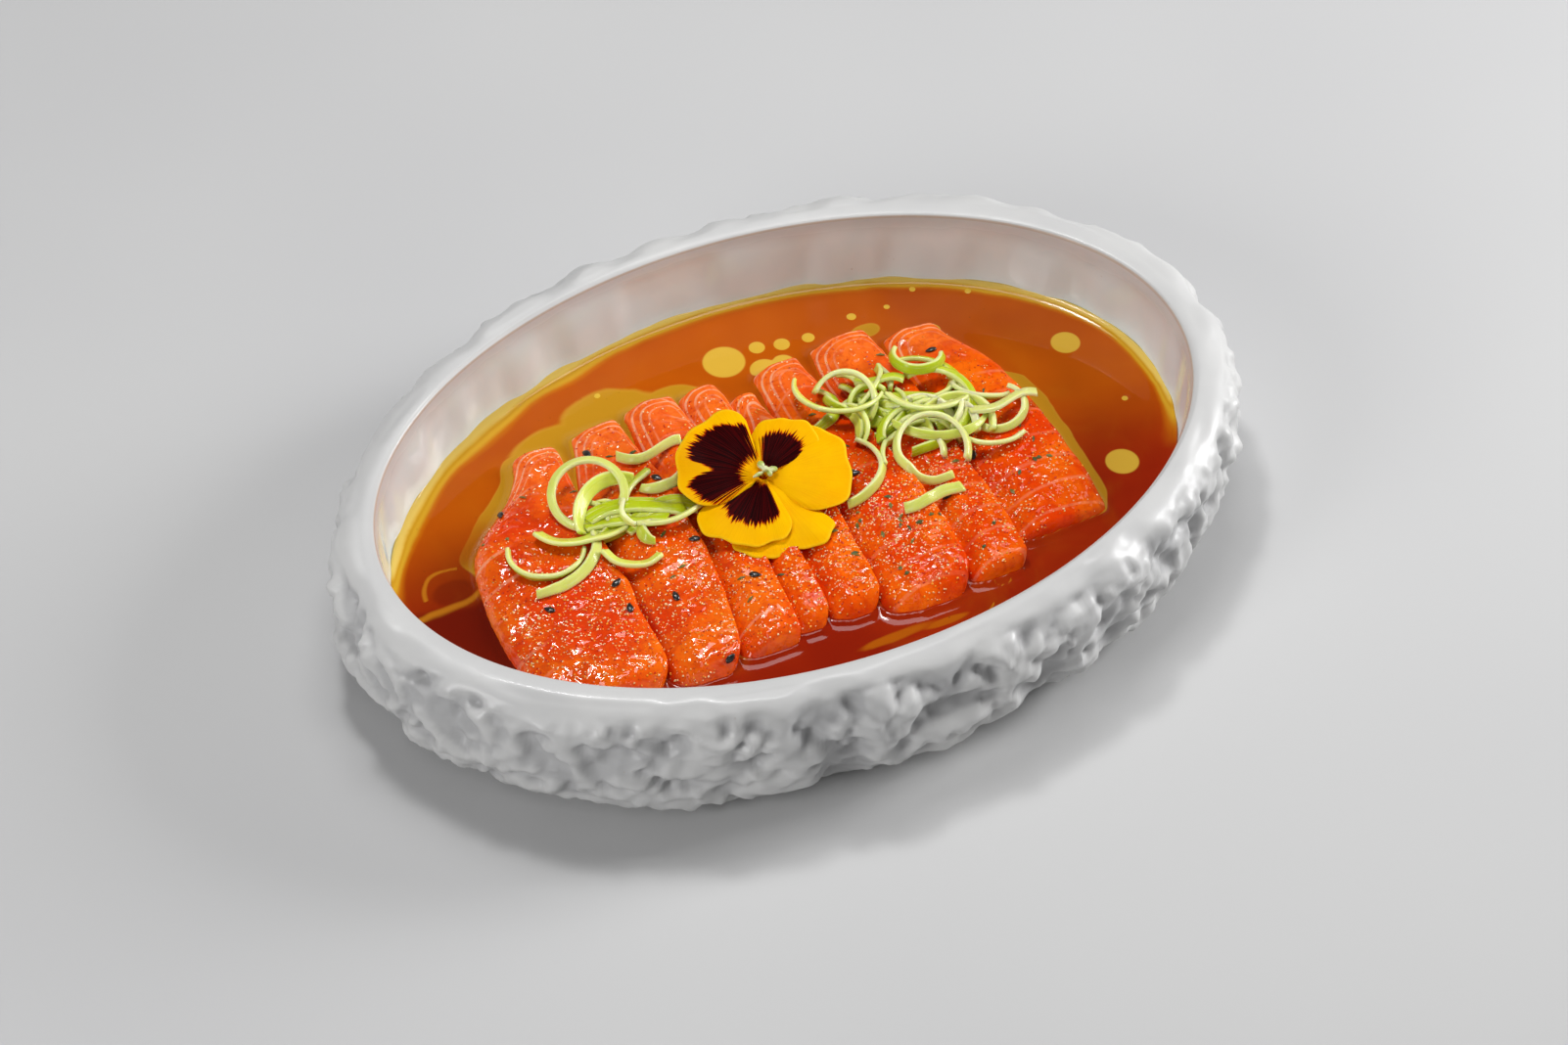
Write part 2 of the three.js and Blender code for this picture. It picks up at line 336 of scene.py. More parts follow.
def halfWidth(radius):
    # half width of the ring whose half length is radius
    plan = dishPlan
    floorEdge = plan["rimHalfLength"] - plan["floorBlend"]
    onWall = plan["rimHalfWidth"] + radius - plan["rimHalfLength"]
    onFloor = radius * (plan["rimHalfWidth"] - plan["floorBlend"]) / floorEdge
    return np.where(radius >= floorEdge, onWall, onFloor)


def dishRings():
    # half length and height of each ring, from the middle of the floor over the lip to under the foot
    r = dishPlan["rimHalfLength"]
    h = dishPlan["rimHeight"]
    blend = dishPlan["floorBlend"]
    lip = dishPlan["lipWidth"]
    out = r + dishPlan["bulge"]
    inside = [(6, 4.4), (r * 0.5, 4.6), (r - blend, 5.3), (r - 14, 7.2), (r - 8, 10.5), (r - 5.4, 13.5),
              (r - 4.3, 17), (r - 3.2, 22), (r - 2.3, 27.5), (r - 1.5, 33), (r - 0.8, 38), (r - 0.3, 41)]
    edge = [(r - 0.05, h - 0.35), (r + 0.25, h + 0.1), (r + 0.9, h + 0.5)]
    overLip = [(r + 2.6, h + 0.85), (r + 4.6, h + 0.75), (r + lip * 0.6, h + 0.3),
               (r + lip * 0.78, h - 0.6), (r + lip * 0.92, h - 2), (r + lip + 0.4, h - 4.2)]
    outside = [(out - 0.9, h - 7), (out - 0.2, h - 10), (out, h - 14), (out, h - 18), (out, h - 22),
               (out - 0.6, h - 25.5), (out - 1.6, h - 29), (out - 3.2, h - 33), (out - 5.6, h - 36.4),
               (out - 9, h - 39), (r, 1.9), (r - 6, 0.9)]
    foot = [(r - 10.5, 0.05), (r - 11, 0), (r - 23.5, 0), (r - 24, 0.1), (r - 26, 1.4), (6, 1.4)]
    return inside + edge + overLip + outside + foot


def extrudeRings(name, rings, columns):
    # a circle drawn out ring by ring: each ring is half length, half width and height
    deselectAll()
    first = rings[0]
    bpy.ops.mesh.primitive_circle_add(vertices=columns, radius=mm, fill_type="NGON")
    piece = startPiece(name)
    bpy.ops.object.mode_set(mode="EDIT")
    bpy.ops.mesh.select_all(action="SELECT")
    bpy.ops.transform.resize(value=(first[0], first[1], 1), center_override=(0, 0, 0))
    bpy.ops.transform.translate(value=(0, 0, first[2] * mm))
    bpy.ops.mesh.select_mode(type="EDGE")
    bpy.ops.mesh.region_to_loop()
    for last, ring in zip(rings, rings[1:]):
        rise = {"value": (0, 0, (ring[2] - last[2]) * mm)}
        stretch = (ring[0] / last[0], ring[1] / last[1], 1)
        bpy.ops.mesh.extrude_edges_move(TRANSFORM_OT_translate=rise)
        bpy.ops.transform.resize(value=stretch, center_override=(0, 0, ring[2] * mm))
    bpy.ops.mesh.edge_face_add()
    bpy.ops.mesh.select_all(action="SELECT")
    bpy.ops.mesh.normals_make_consistent(inside=False)
    bpy.ops.object.mode_set(mode="OBJECT")
    return piece


def makeGlaze():
    tones = dishPlan["tones"]
    m = MaterialMaker("whiteGlaze")
    cloud = m.noise(38, 3)
    # painted light and shade: the inside gets a lighter, bluer copy of the outside's white
    outer = m.cloudy(cloud, 0.35, 0.7, tones["outside"])
    inner = m.cloudy(cloud, 0.35, 0.7, tones["inside"])
    white = m.blend(m.attribute("inside"), outer, inner)
    pits = m.times(m.between(m.cells(260), 0.05, 0.11, 1, 0), m.between(m.noise(60, 1), 0.66, 0.7))
    colour = m.layers(white,
                      # painted shade in the hollows of the relief
                      (m.between(m.attribute("hollowShade"), 0, 1, 0, 0.45), tones["hollowShade"]),
                      (m.between(m.attribute("edgeLine"), 0.35, 0.9, 0, 0.5), tones["edgeLine"]),
                      (m.times(pits, 0.35), tones["pits"]))
    evenRoughness = m.between(m.attribute("inside"), 0, 1, *dishPlan["roughness"])
    uneven = m.between(m.noise(90, 2), 0.3, 0.7, -0.04, 0.06)
    m.set(Base_Color=colour, Roughness=m.math("ADD", evenRoughness, uneven))
    ripple = m.bump(m.noise(150, 2), 0.25, 0.25)
    m.set(Normal=m.bump(m.noise(700, 2), 0.06, 0.05, ripple), Specular_IOR_Level=0.5)
    m.set(Coat_Weight=0.12, Coat_Roughness=0.1)
    return m.material


def roughenDish(dish):
    # the outside gets its rocky relief, the lip its scallops and the inner wall its soft flutes
    plan = dishPlan
    points = getPoints(dish)
    normals = getNormals(dish)
    x, y, z = points.T
    angle = np.arctan2(y / plan["rimHalfWidth"], x / plan["rimHalfLength"])
    ringOut = np.hypot(x / plan["rimHalfLength"], y / plan["rimHalfWidth"])
    top = plan["rimHeight"]
    # soft humps with narrower hollows between them, over slow swells
    warped = points + 1.8 * np.stack([waves(points, 12, seed) for seed in (11, 12, 13)], axis=1)
    reliefs = [plan[name] for name in ("swells", "lumps", "dents", "grain")]
    swells, lumps, dents, grain = [depth * waves(warped, size, n) for n, (size, depth) in enumerate(reliefs)]
    relief = swells + lumps - 0.45 * np.abs(lumps) + dents - 0.25 * np.abs(dents) + grain
    upperEdge = smooth(top - 6.5, top + 0.6, z + 3.4 * waves(points, 17, 5))
    band = smooth(0.5, 7, z) * (1 - upperEdge) * smooth(1.03, 1.06, ringOut)
    scallop = 1.7 * waves(points, 11, 8) * smooth(1.035, 1.07, ringOut) * smooth(top - 9, top - 3, z)
    moved = points + normals * np.array([1, 1, 0.55]) * (band * relief + scallop)[:, None]
    # the whole outside is a little out of true
    skew = plan["skew"] * np.cos(2 * (angle - math.radians(plan["skewTurn"]))) * smooth(0, 6, z)
    outOnly = smooth(1.005, 1.03, ringOut) * smooth(0, 6, z)
    moved[:, 0] += skew * outOnly * np.cos(angle)
    moved[:, 1] += skew * outOnly * np.sin(angle)
    # the inner wall has soft upright waves under the glaze
    fluteSize, fluteDepth = plan["flutes"]
    around = np.stack([np.cos(angle) * 118, np.sin(angle) * 80, z * 0.25], axis=1)
    inner = (1 - smooth(0.975, 1.0, ringOut)) * smooth(15, 24, z) * (1 - smooth(36, 42, z))
    flutes = inner * fluteDepth * (0.5 + waves(around, fluteSize, 21))
    moved -= normals * np.array([1, 1, 0]) * flutes[:, None]
    # nothing may stand out past the solid dish
    low, high = [np.array(corner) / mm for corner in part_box("dish")]
    for axis in (0, 1):
        moved[:, axis] /= max(moved[:, axis].max() / high[axis], moved[:, axis].min() / low[axis], 1)
    moved[:, 2] = np.clip(moved[:, 2], low[2], high[2])
    setPoints(dish, moved)
    # painted shade: darker where the outside relief dips
    paint(dish, "hollowShade", band * (1 - smooth(-1.6, 0.3, relief)))
    paint(dish, "inside", 1 - smooth(0.985, 1.0, ringOut))
    paint(dish, "edgeLine", np.exp(-((ringOut - 1.0) / 0.0028) ** 2) * smooth(top - 1.5, top - 0.4, z))


def makeDish():
    rings = [(radius, float(halfWidth(radius)), height) for radius, height in dishRings()]
    dish = extrudeRings("dishGlazed", rings, dishPlan["columns"])
    applyModifier(dish, "SUBSURF", levels=2, render_levels=2)
    roughenDish(dish)
    dish.data.shade_smooth()
    finishPiece(dish, "white_glaze", makeGlaze(), "dish")


# the salmon slices

slicePlan = {
    "top": sauceLevel + 5.0,
    "bottom": 8.0,
    "lean": 0.42,  # how far a slice leans sideways for each mm of height
    "tipStart": 14.0,  # from this y on it narrows to its tip
    "tipRadius": 1.8,
    # cross section: width, height, radius of the left edge and of the right; the tips are flatter
    "bodySection": (24, 15, 3.0, 2.4),
    "firstLeftRadius": 4.2,
    "tipSection": (15, 12, 1.3, 1.0),
    "rows": 150,
    "endRows": 13,  # of them at each end, where they lie closer together
    "rolls": ((14, 0.8), (5.5, 0.34), (2, 0.13)),  # size and height of the soft hills on top
    "leftDrop": (1.2, 3.1),  # how far the left edge dips: the first slice, the others
    "rightRise": (0.2, 1.0),  # how far the right edge lifts: the last slice, the others
    "barelyParted": 3,  # between this slice, counted from 0, and the one before is only a soft ridge in front
    # where neighbouring slices meet: x at the front, in the middle and at the back
    "creaseY": (-50, -8, 30),
    "creases": [(-89, -94, -83), (-58, -54.5, -54), (-38.5, -31, -31), (-20, -16.5, -13), (-10, -8, -1),
                (4.6, 7.5, 9), (30, 31, 27), (47, 48.7, 49.5), (74, 76.5, 72)],
    # y of the front end, the tip's y, x and width, how far it stands up, radius of the front end
    "slices": [(-51, 45.5, -58, 14, 0.2, 9), (-54, 47.5, -38.5, 15, 0.3, 8),
               (-52, 49, -20.8, 15.5, 0.5, 6.5), (-50.5, 47.5, -6.6, 12, 0.1, 7.5),
               (-51.5, 39, 3.4, 8.5, 0.4, 8), (-57.5, 46, 17.5, 14, 0.9, 10),
               (-54.5, 48, 38.5, 18, 0.3, 4.5), (-47, 42.5, 58.5, 17, -0.4, 4)],
    # the first slices are shinier and more plainly lined: how many, then film and line share of both kinds
    "oilyCount": 3,
    "oily": (0.95, 0.5),
    "wet": (0.35, 0.2),
    "tones": {
        "flesh": ((0.80, 0.050, 0.001), (0.98, 0.165, 0.003)),
        # painted glow: a bright orange for light shining through the cut face
        "endFaceAndGlow": (0.98, 0.15, 0.002),
        # painted shade in the grooves between the slices
        "grooveShade": (0.40, 0.008, 0.002),
        "tip": (0.96, 0.18, 0.02),
        "fat": (0.95, 0.50, 0.30),
        "mottle": (0.58, 0.018, 0.001),
        "redGrain": (0.40, 0.010, 0.002),
    },
}


def creaseX(crease, y):
    front, middle, back = slicePlan["creaseY"]
    a = (y - middle) * (y - back) / ((front - middle) * (front - back))
    c = (y - front) * (y - middle) / ((back - front) * (back - middle))
    return crease[0] * a + crease[2] * c + crease[1] * (1 - a - c)


def sliceEdges(index, y):
    front, tip, tipX, tipWidth, _, radius = slicePlan["slices"][index]
    toTip = smooth(slicePlan["tipStart"], tip, y)
    frontRound = radius * 0.55 * np.clip(1 - (y - front) / (radius * 1.1), 0, 1) ** 2
    tipRound = 2.2 * np.clip(1 - (tip - y) / 3.5, 0, 1) ** 2
    left = mix(creaseX(slicePlan["creases"][index], y), tipX - tipWidth / 2, toTip)
    right = mix(creaseX(slicePlan["creases"][index + 1], y), tipX + tipWidth / 2, toTip)
    leftShare = 0.2 if index == slicePlan["barelyParted"] else 1
    rightShare = 0.2 if index == slicePlan["barelyParted"] - 1 else 1
    return left + frontRound * leftShare + tipRound, right - frontRound * rightShare - tipRound


def sectionOutline(widthMm, heightMm, cornerLeft, cornerRight):
    # a slice's cross section from its left foot over the top to its right foot, as shares of its size;
    # every outline has as many points, so that one can turn into another along the slice
    a = cornerLeft / widthMm
    b = cornerRight / widthMm
    leftSide = [(0, h) for h in np.linspace(0, 1 - cornerLeft / heightMm, 6)[:-1]]
    arcLeft = [(a - a * math.cos(t), 1 - cornerLeft / heightMm * (1 - math.sin(t)))
               for t in np.linspace(0, math.pi / 2, 8)]
    topLine = [(s, 1) for s in np.linspace(a, 1 - b, 50)[1:-1]]
    arcRight = [(1 - b + b * math.sin(t), 1 - cornerRight / heightMm * (1 - math.cos(t)))
                for t in np.linspace(0, math.pi / 2, 9)]
    rightSide = [(1, h) for h in np.linspace(1 - cornerRight / heightMm, 0, 8)[1:]]
    return np.array(leftSide + arcLeft + topLine + arcRight + rightSide)


def makeSalmonMaterial(name, film, lineShare):
    # film: how much of it shines; lineShare: how plain the fat lines on its body are
    tones = slicePlan["tones"]
    m = MaterialMaker(name)
    along = m.attribute("alongShare")
    endFaceAndGlow = m.times(m.attribute("endFaceAndGlow"), 0.75)  # the cut face in front is smoother and more even, and painted a bright orange as the glow of light through the flesh
    calm = m.math("SUBTRACT", 1.0, endFaceAndGlow)
    # deep orange, with darker red painted shade in the grooves where the slices meet, paler at the tips
    flesh = m.layers(m.cloudy(m.noise(55, 4, 0.6), 0.35, 0.68, tones["flesh"]),
                     (endFaceAndGlow, tones["endFaceAndGlow"]),
                     (m.times(m.between(m.attribute("grooveShade"), 0.0, 1.0), 0.85), tones["grooveShade"]),
                     (m.times(m.between(along, 0.74, 0.93), 0.7), tones["tip"]))
    # pale fat lines: close and curved at the tips, few and faint on the body
    rimBands = m.bands(0.21, m.plane("rimDepth", "grainY"), 1.2)
    inRim = m.times(m.between(m.attribute("rimDepth"), 3.0, 7.0, 1, 0), m.between(along, 0.7, 0.86))
    patchy = m.between(m.noise(120, 2), 0.32, 0.55, 0.35, 1)
    tipLines = m.times(m.times(m.between(rimBands, 0.72, 0.97), inRim), patchy)
    bodyBands = m.bands(0.035, m.stretched(m.plane("grainX", "grainY"), (1, 0.35, 1)), 3.6)
    bodyLines = m.times(m.between(bodyBands, 0.94, 1.0), m.between(m.noise(22, 2), 0.5, 0.64))
    fat = m.math("MAXIMUM", m.times(tipLines, 0.8), m.times(bodyLines, lineShare))
    # a darker mottle, and tiny red grains in the wet surface
    mottle = m.times(m.between(m.noise(300, 4, 0.65, distortion=0.8), 0.46, 0.62), calm)
    redGrain = m.times(m.between(m.cells(620), 0.12, 0.26, 1, 0), m.between(m.noise(70, 2), 0.45, 0.6))
    colour = m.layers(flesh, (fat, tones["fat"]), (m.times(mottle, 0.36), tones["mottle"]),
                      (m.times(redGrain, 0.55), tones["redGrain"]))
    m.set(Base_Color=colour, Roughness=m.between(m.noise(300, 3), 0.3, 0.7, 0.4, 0.55))
    m.set(Subsurface_Weight=0.12, Subsurface_Radius=(2.0, 0.4, 0.15), Subsurface_Scale=mm)
    # wet film: slow wrinkles, finer ones, and beads where the spice stands in it
    beads = m.between(m.cells(420), 0.0, 0.45, 1, 0)
    wrinkles = m.bump(m.noise(330, 4, 0.62), 0.5, 0.5)
    m.set(Normal=m.bump(beads, 0.4, 0.2, wrinkles), Specular_IOR_Level=0.0)
    slowFilm = m.bump(m.noise(150, 1, 0.5), 0.5, 0.8)
    fineFilm = m.bump(m.times(m.noise(250, 0, 0.5, distortion=1.4), calm), 0.85, 0.6, slowFilm)
    m.set(Coat_Weight=film, Coat_Roughness=0.035, Coat_IOR=1.5)
    m.set(Coat_Normal=m.bump(m.times(beads, calm), 0.4, 0.25, fineFilm))
    return m.material


def sliceRows(front, tip, radius):
    # y of each row across a slice
    plan = slicePlan
    quarter = np.linspace(0, math.pi / 2, plan["endRows"] + 1)
    between = plan["rows"] - 2 * plan["endRows"]
    return np.concatenate([front + radius * (1 - np.cos(quarter[:-1])),
                           np.linspace(front + radius, tip - plan["tipRadius"], between),
                           tip - plan["tipRadius"] * (1 - np.sin(quarter[1:]))])


def roundedOver(share):
    # height of a quarter circle, from 0 at the very end to 1 where the round stretch is over
    return np.sqrt(np.clip(1 - (1 - share) ** 2, 0, 1))


def makeSlice(index, material):
    plan = slicePlan
    front, tip, _, _, rise, radius = plan["slices"][index]
    isFirst = index == 0
    isLast = index == len(plan["slices"]) - 1
    yRow = sliceRows(front, tip, radius)[:, None]
    width, height, leftRadius, rightRadius = plan["bodySection"]
    body = sectionOutline(width, height, plan["firstLeftRadius"] if isFirst else leftRadius, rightRadius)
    flatTip = sectionOutline(*plan["tipSection"])
    toTip = 0.85 * smooth(plan["tipStart"], tip - 8, yRow)
    s = mix(body[:, 0][None, :], flatTip[:, 0][None, :], toTip)
    h = mix(body[:, 1][None, :], flatTip[:, 1][None, :], toTip)
    left, right = sliceEdges(index, yRow)
    share = (yRow - front) / (tip - front)
    taper = smooth(plan["tipStart"], tip, yRow)
    fromFront = np.clip((yRow - front) / radius, 0, 1)
    fromTip = np.clip((tip - yRow) / plan["tipRadius"], 0, 1)
    xTop = left + s * (right - left)
    yGrid = yRow + 0 * s
    # the top: soft hills, a dip at the left edge, a lift at the right one, and lower ends
    flat = np.stack([xTop.ravel(), yGrid.ravel(), np.full(xTop.size, index * 50.0)], axis=1)
    roll = sum(tall * waves(flat, size, 31 + n) for n, (size, tall) in enumerate(plan["rolls"]))
    inFront = 1 - smooth(-36, -8, yRow)
    softLeft = 1 - 0.75 * inFront * (index == plan["barelyParted"])
    softRight = 1 - 0.75 * inFront * (index == plan["barelyParted"] - 1)
    leftDrop = plan["leftDrop"][not isFirst] * (1 - smooth(0, 0.42, s)) * (1 - 0.55 * taper) * softLeft
    rightRise = plan["rightRise"][not isLast] * s * (1 - taper) * softRight
    drop = 1.5 * taper + 1.0 * smooth(0.16, 0, share)
    crown = 0.9 * taper * (2 * s - 1) ** 2
    surface = plan["top"] + rise - leftDrop + rightRise - drop - crown + roll.reshape(xTop.shape)
    z = plan["bottom"] + h * (surface - plan["bottom"]) * (roundedOver(fromFront) * roundedOver(fromTip))
    # the slices lean on each other, but the two outer sides stand upright
    lean = plan["lean"] * (1 - 0.6 * taper)
    outerSide = (isFirst & (s < 0.5)) | (isLast & (s > 0.5))
    leanHere = np.where(outerSide, lean * (1 - 2 * np.abs(s - 0.5)), lean)
    onSide = np.stack([z.ravel() * 2, yGrid.ravel(), np.full(z.size, 9.0 + index)], axis=1)
    side = 0.35 * waves(onSide, 7, 35).reshape(z.shape)
    x = xTop - leanHere * (plan["top"] - z) + side * ((s < 0.02) | (s > 0.98))
    piece = gridPiece("salmonSlice%d" % (index + 1), np.stack([x, yGrid, z], axis=2))
    paint(piece, "alongShare", (share + 0 * s).ravel())
    bow = np.abs(2 * s - 1) ** 2.4 * mix(3, 10, taper)
    paint(piece, "grainX", (yGrid + bow).ravel())
    paint(piece, "grainY", (xTop * 0.25).ravel())
    # how deep inside the tip's outline: its fat lines follow that outline
    toEdges = [(tip - yGrid) + 0.3, (xTop - left) * 0.75 + 1.5, (right - xTop) * 1.2 + 3.5]
    paint(piece, "rimDepth", (-2 * np.log(sum(np.exp(-d / 2) for d in toEdges))).ravel())
    # the cut face in front: smoother, and painted bright as the glow of light through the flesh
    paint(piece, "endFaceAndGlow", (1 - smooth(0.06, 0.45, fromFront) + 0 * s).ravel())
    # painted shade along the left side of each slice, where the slice before lies over it, and low on the
    # right side
    grooveShadeLeft = 0 if isFirst else (1 - smooth(0.0, 0.16, s)) * (1 - 0.8 * taper) * softLeft
    grooveShadeRight = 0 if isLast else smooth(0.985, 1.0, s) * (1 - h) * 2
    paint(piece, "grooveShade", np.clip(grooveShadeLeft + grooveShadeRight + 0 * x, 0, 1).ravel())
    closeUnderside(piece)
    piece.data.shade_smooth()
    finishPiece(piece, "salmon", material, "salmon_slice_%d" % (index + 1))
    return piece


def makeSalmon():
    plan = slicePlan
    oily = makeSalmonMaterial("oilySalmon", *plan["oily"])
    wet = makeSalmonMaterial("wetSalmon", *plan["wet"])
    return [makeSlice(i, oily if i < plan["oilyCount"] else wet) for i in range(len(plan["slices"]))]


# the dressing

saucePlan = {
    "columns": 330,
    "rows": 224,
    "wallInset": 3.75,  # the wall stands this far inside the rim at the level of the dressing
    "intoWall": 1.0,
    "wallRise": 1.5,  # how far it creeps up the wall, and up the slices
    "sliceRise": 1.2,
    "skirt": 3.0,
    # round drops of oil: x, y, radius
    "drops": [(6.5, 55, 6.5), (17.5, 56, 2.5), (24.5, 54, 2.5), (32.5, 53, 2), (65.5, 39, 2.5),
              (97.5, 18, 4.5), (88.5, -30, 5), (47.5, 55, 1.5), (58.5, 54, 1), (15.5, 47, 4.5),
              (21.5, 47, 3.5), (82.5, 49, 1), (68.5, 57, 1), (101.5, -9, 1), (-31.5, 59, 1)],
    "dropHeight": 0.2,
    # broad pale patches of oil behind the slices: x, y, half length, half width
    "patches": [(-31.5, 51, 12, 9), (-52.5, 47, 12, 6.5), (-12.5, 48, 7, 5), (48.5, 48, 5, 3)],
    # oil hugs the slices too: how far it reaches from them behind the tips, at the left and at the right
    "hug": (4.5, 6.0, 3.5),
    # pockets of painted shade, and thin orange smears in front: x, y, half length, half width
    "shadePockets": [(-97.5, 9, 8, 6)],
    "smears": [(0.5, -58.5, 13, 1.8), (17, -60, 7, 1.2), (-20, -62, 6, 1.5)],
    # thin threads between thin and deep dressing: x, y, radius, first degree, degrees they run, half width
    "threads": [(-102.5, 57, 53.2, 262, 22, 1.5), (-97.5, 9, 8.3, 180, -120, 1.0),
                (14.5, -41, 25, 250, 62, 0.5), (37.5, -53, 2.4, 120, 210, 0.35)],
    # the pale band along the wall: its least width, how much wider it gets, in which direction and spread
    "wallBand": (4.0, 5.0, 128.0, 22.0),
    "film": 0.45,
    "tones": {
        # orange at the back, and a dark red-brown in front as painted shade from the dish's front wall
        "back": ((0.42, 0.066, 0.0005), (0.50, 0.092, 0.0008)),
        "front": ((0.25, 0.010, 0.0008), (0.34, 0.020, 0.001)),
        "shade": (0.11, 0.005, 0.0008),
        "smear": (0.50, 0.13, 0.002),
        "glow": (0.56, 0.17, 0.003),
        "band": (0.64, 0.36, 0.022),
        "line": (0.50, 0.21, 0.008),
        "brim": (0.78, 0.56, 0.13),
        "oil": (0.53, 0.28, 0.013),
        "thread": (0.58, 0.22, 0.01),
        "oilEdge": (0.80, 0.50, 0.06),
        "drop": (0.74, 0.48, 0.05),
        "speck": (0.13, 0.03, 0.004),
    },
}


def makeDressingMaterial():
    tones = saucePlan["tones"]
    m = MaterialMaker("amberDressing")
    cloud = m.noise(22, 3)
    swirl = m.noise(40, 3, 0.5, distortion=1.2)
    back = m.cloudy(cloud, 0.35, 0.7, tones["back"])
    front = m.cloudy(cloud, 0.35, 0.7, tones["front"])
    # painted shade: the depth attribute takes it from the orange back to the dark, shaded front
    body = m.blend(m.between(m.attribute("depth"), 0.1, 0.95), back, front)
    smear = m.math("ADD", m.attribute("smear"), m.sway(swirl, 1.2))
    edge = m.math("ADD", m.attribute("edge"), m.sway(swirl, 0.35))
    darkLine = m.times(m.between(edge, 0.5, 0.6), m.between(edge, 0.62, 0.72, 1, 0))
    oil = m.math("ADD", m.attribute("oil"), m.sway(swirl, 0.3))
    oilShare = m.times(m.between(oil, -0.02, 0.14, 0, 0.85), m.attribute("oilShare"))
    oilEdge = m.times(m.between(oil, -0.10, 0.0), m.between(oil, 0.05, 0.16, 1, 0))
    specks = m.times(m.between(m.cells(330), 0.05, 0.12, 1, 0), m.between(m.noise(45, 2), 0.55, 0.7))
    # towards the wall it has a glow, a pale band, a thin darker line and a pale brim
    colour = m.layers(body,
                      (m.attribute("shade"), tones["shade"]),
                      (m.between(smear, 0.1, 0.8, 0, 0.7), tones["smear"]),
                      (m.between(edge, 0.0, 0.25, 0, 0.6), tones["glow"]),
                      (m.between(edge, 0.2, 0.45, 0, 0.9), tones["band"]),
                      (m.times(darkLine, 0.35), tones["line"]),
                      (m.between(edge, 0.62, 0.86, 0, 0.9), tones["brim"]),
                      (oilShare, tones["oil"]),
                      (m.between(m.attribute("thread"), 0.0, 0.8, 0, 0.65), tones["thread"]),
                      (m.times(m.times(oilEdge, oilShare), 0.3), tones["oilEdge"]),
                      (m.between(m.attribute("drop"), 0.0, 0.12, 0, 0.85), tones["drop"]),
                      (m.times(specks, 0.6), tones["speck"]))
    m.set(Base_Color=colour, Roughness=0.12, Specular_IOR_Level=0.03)
    m.set(Normal=m.bump(m.noise(60, 2), 0.12, 0.3), Coat_Weight=saucePlan["film"], Coat_Roughness=0.02)
    return m.material


def blobField(x, y, blobs):
    # above 0 inside any blob, and the blobs run together where they are close
    total = np.zeros_like(x)
    for cx, cy, rx, ry in blobs:
        d = ((x - cx) / rx) ** 2 + ((y - cy) / ry) ** 2
        total = np.maximum(total, np.exp(-d * 0.7)) + 0.25 * np.minimum(total, np.exp(-d * 0.7))
    return total - 0.45


def nearestSalmon(salmonTree, x, y):
    # how far each point of the surface is from the salmon, up to 12 mm
    near = np.full(len(x), 12.0)
    for i in np.nonzero((np.abs(x) < 106) & (np.abs(y) < 70))[0]:
        hit = salmonTree.find_nearest(Vector((x[i] * mm, y[i] * mm, (sauceLevel + 0.3) * mm)), 0.012)
        if hit[0] is not None:
            near[i] = hit[3] / mm
    return near


def paintOil(piece, flat, near):
    plan = saucePlan
    x, y, _ = flat.T
    behind = smooth(22, 38, y) * smooth(4, -14, x)
    atLeft = smooth(-70, -84, x) * smooth(10, 20, y) * (1 - behind)
    atRight = smooth(62, 72, x) * smooth(-47, -37, y) * smooth(19, 11, y)
    wider = 4 * smooth(-33, 7, y)
    reaches = plan["hug"][0] * behind + plan["hug"][1] * atLeft + (plan["hug"][2] + wider) * atRight
    hugging = (reaches * (1 + 0.3 * waves(flat, 15, 47)) - near) / 5
    patches = blobField(x, y, plan["patches"]) + 0.12 * waves(flat, 12, 43)
    paint(piece, "oil", np.maximum(hugging, patches))
    paint(piece, "oilShare", 1 - 0.7 * atLeft)
    paint(piece, "smear", np.clip(2.2 * blobField(x, y, plan["smears"]), -1, 1.5))


def paintThreads(piece, flat):
    x, y, _ = flat.T
    threads = np.full(len(x), -1.0)
    for cx, cy, radius, first, run, half in saucePlan["threads"]:
        off = np.degrees(np.arctan2(y - cy, x - cx)) - (first + run / 2)
        inRun = np.abs((off + 180) % 360 - 180) < abs(run) / 2
        wavy = radius + 0.8 * waves(flat, 5, 48)
        thread = 1 - np.abs(np.hypot(x - cx, y - cy) - wavy) / half
        threads = np.maximum(threads, np.where(inRun, thread, -1))
    paint(piece, "thread", threads)


def paintWallBand(piece, flat, toWall, heading):
    # widest behind at the left, and gone in front
    least, more, towards, spread = saucePlan["wallBand"]
    width = (least + more * np.exp(-((heading - towards) / spread) ** 2)) * (1 + 0.25 * waves(flat, 16, 45))
    leftEnd = np.where(heading > 90, smooth(177, 158, heading), 1)
    rightEnd = np.where(np.abs(heading) < 90, smooth(-28, -4, heading), (heading > 0) * 1.0)
    paint(piece, "edge", np.clip(1 - toWall / width, 0, 1) * leftEnd * rightEnd)


def paintShade(piece, flat):
    # painted shade: it turns dark red-brown towards the front, where the dish's front wall shades it, and is
    # darkest below the thread at the left
    x, y, _ = flat.T
    shadedLeft = smooth(-70, -84, x) * smooth(9, 1, y + 0.2 * (x + 100))
    dimLeft = 0.35 * smooth(-72, -84, x) * smooth(34, 14, y)
    shadePocket = np.clip(2 * blobField(x, y, saucePlan["shadePockets"]), 0, 0.6)
    paint(piece, "shade", np.maximum(np.maximum(0.8 * shadedLeft, dimLeft), shadePocket))
    # painted shade towards the front, kept in the depth attribute
    shadedFront = smooth(36, -38, y + 0.16 * x + 5 * waves(flat, 30, 46))
    paint(piece, "depth", np.maximum(shadedFront, shadedLeft))


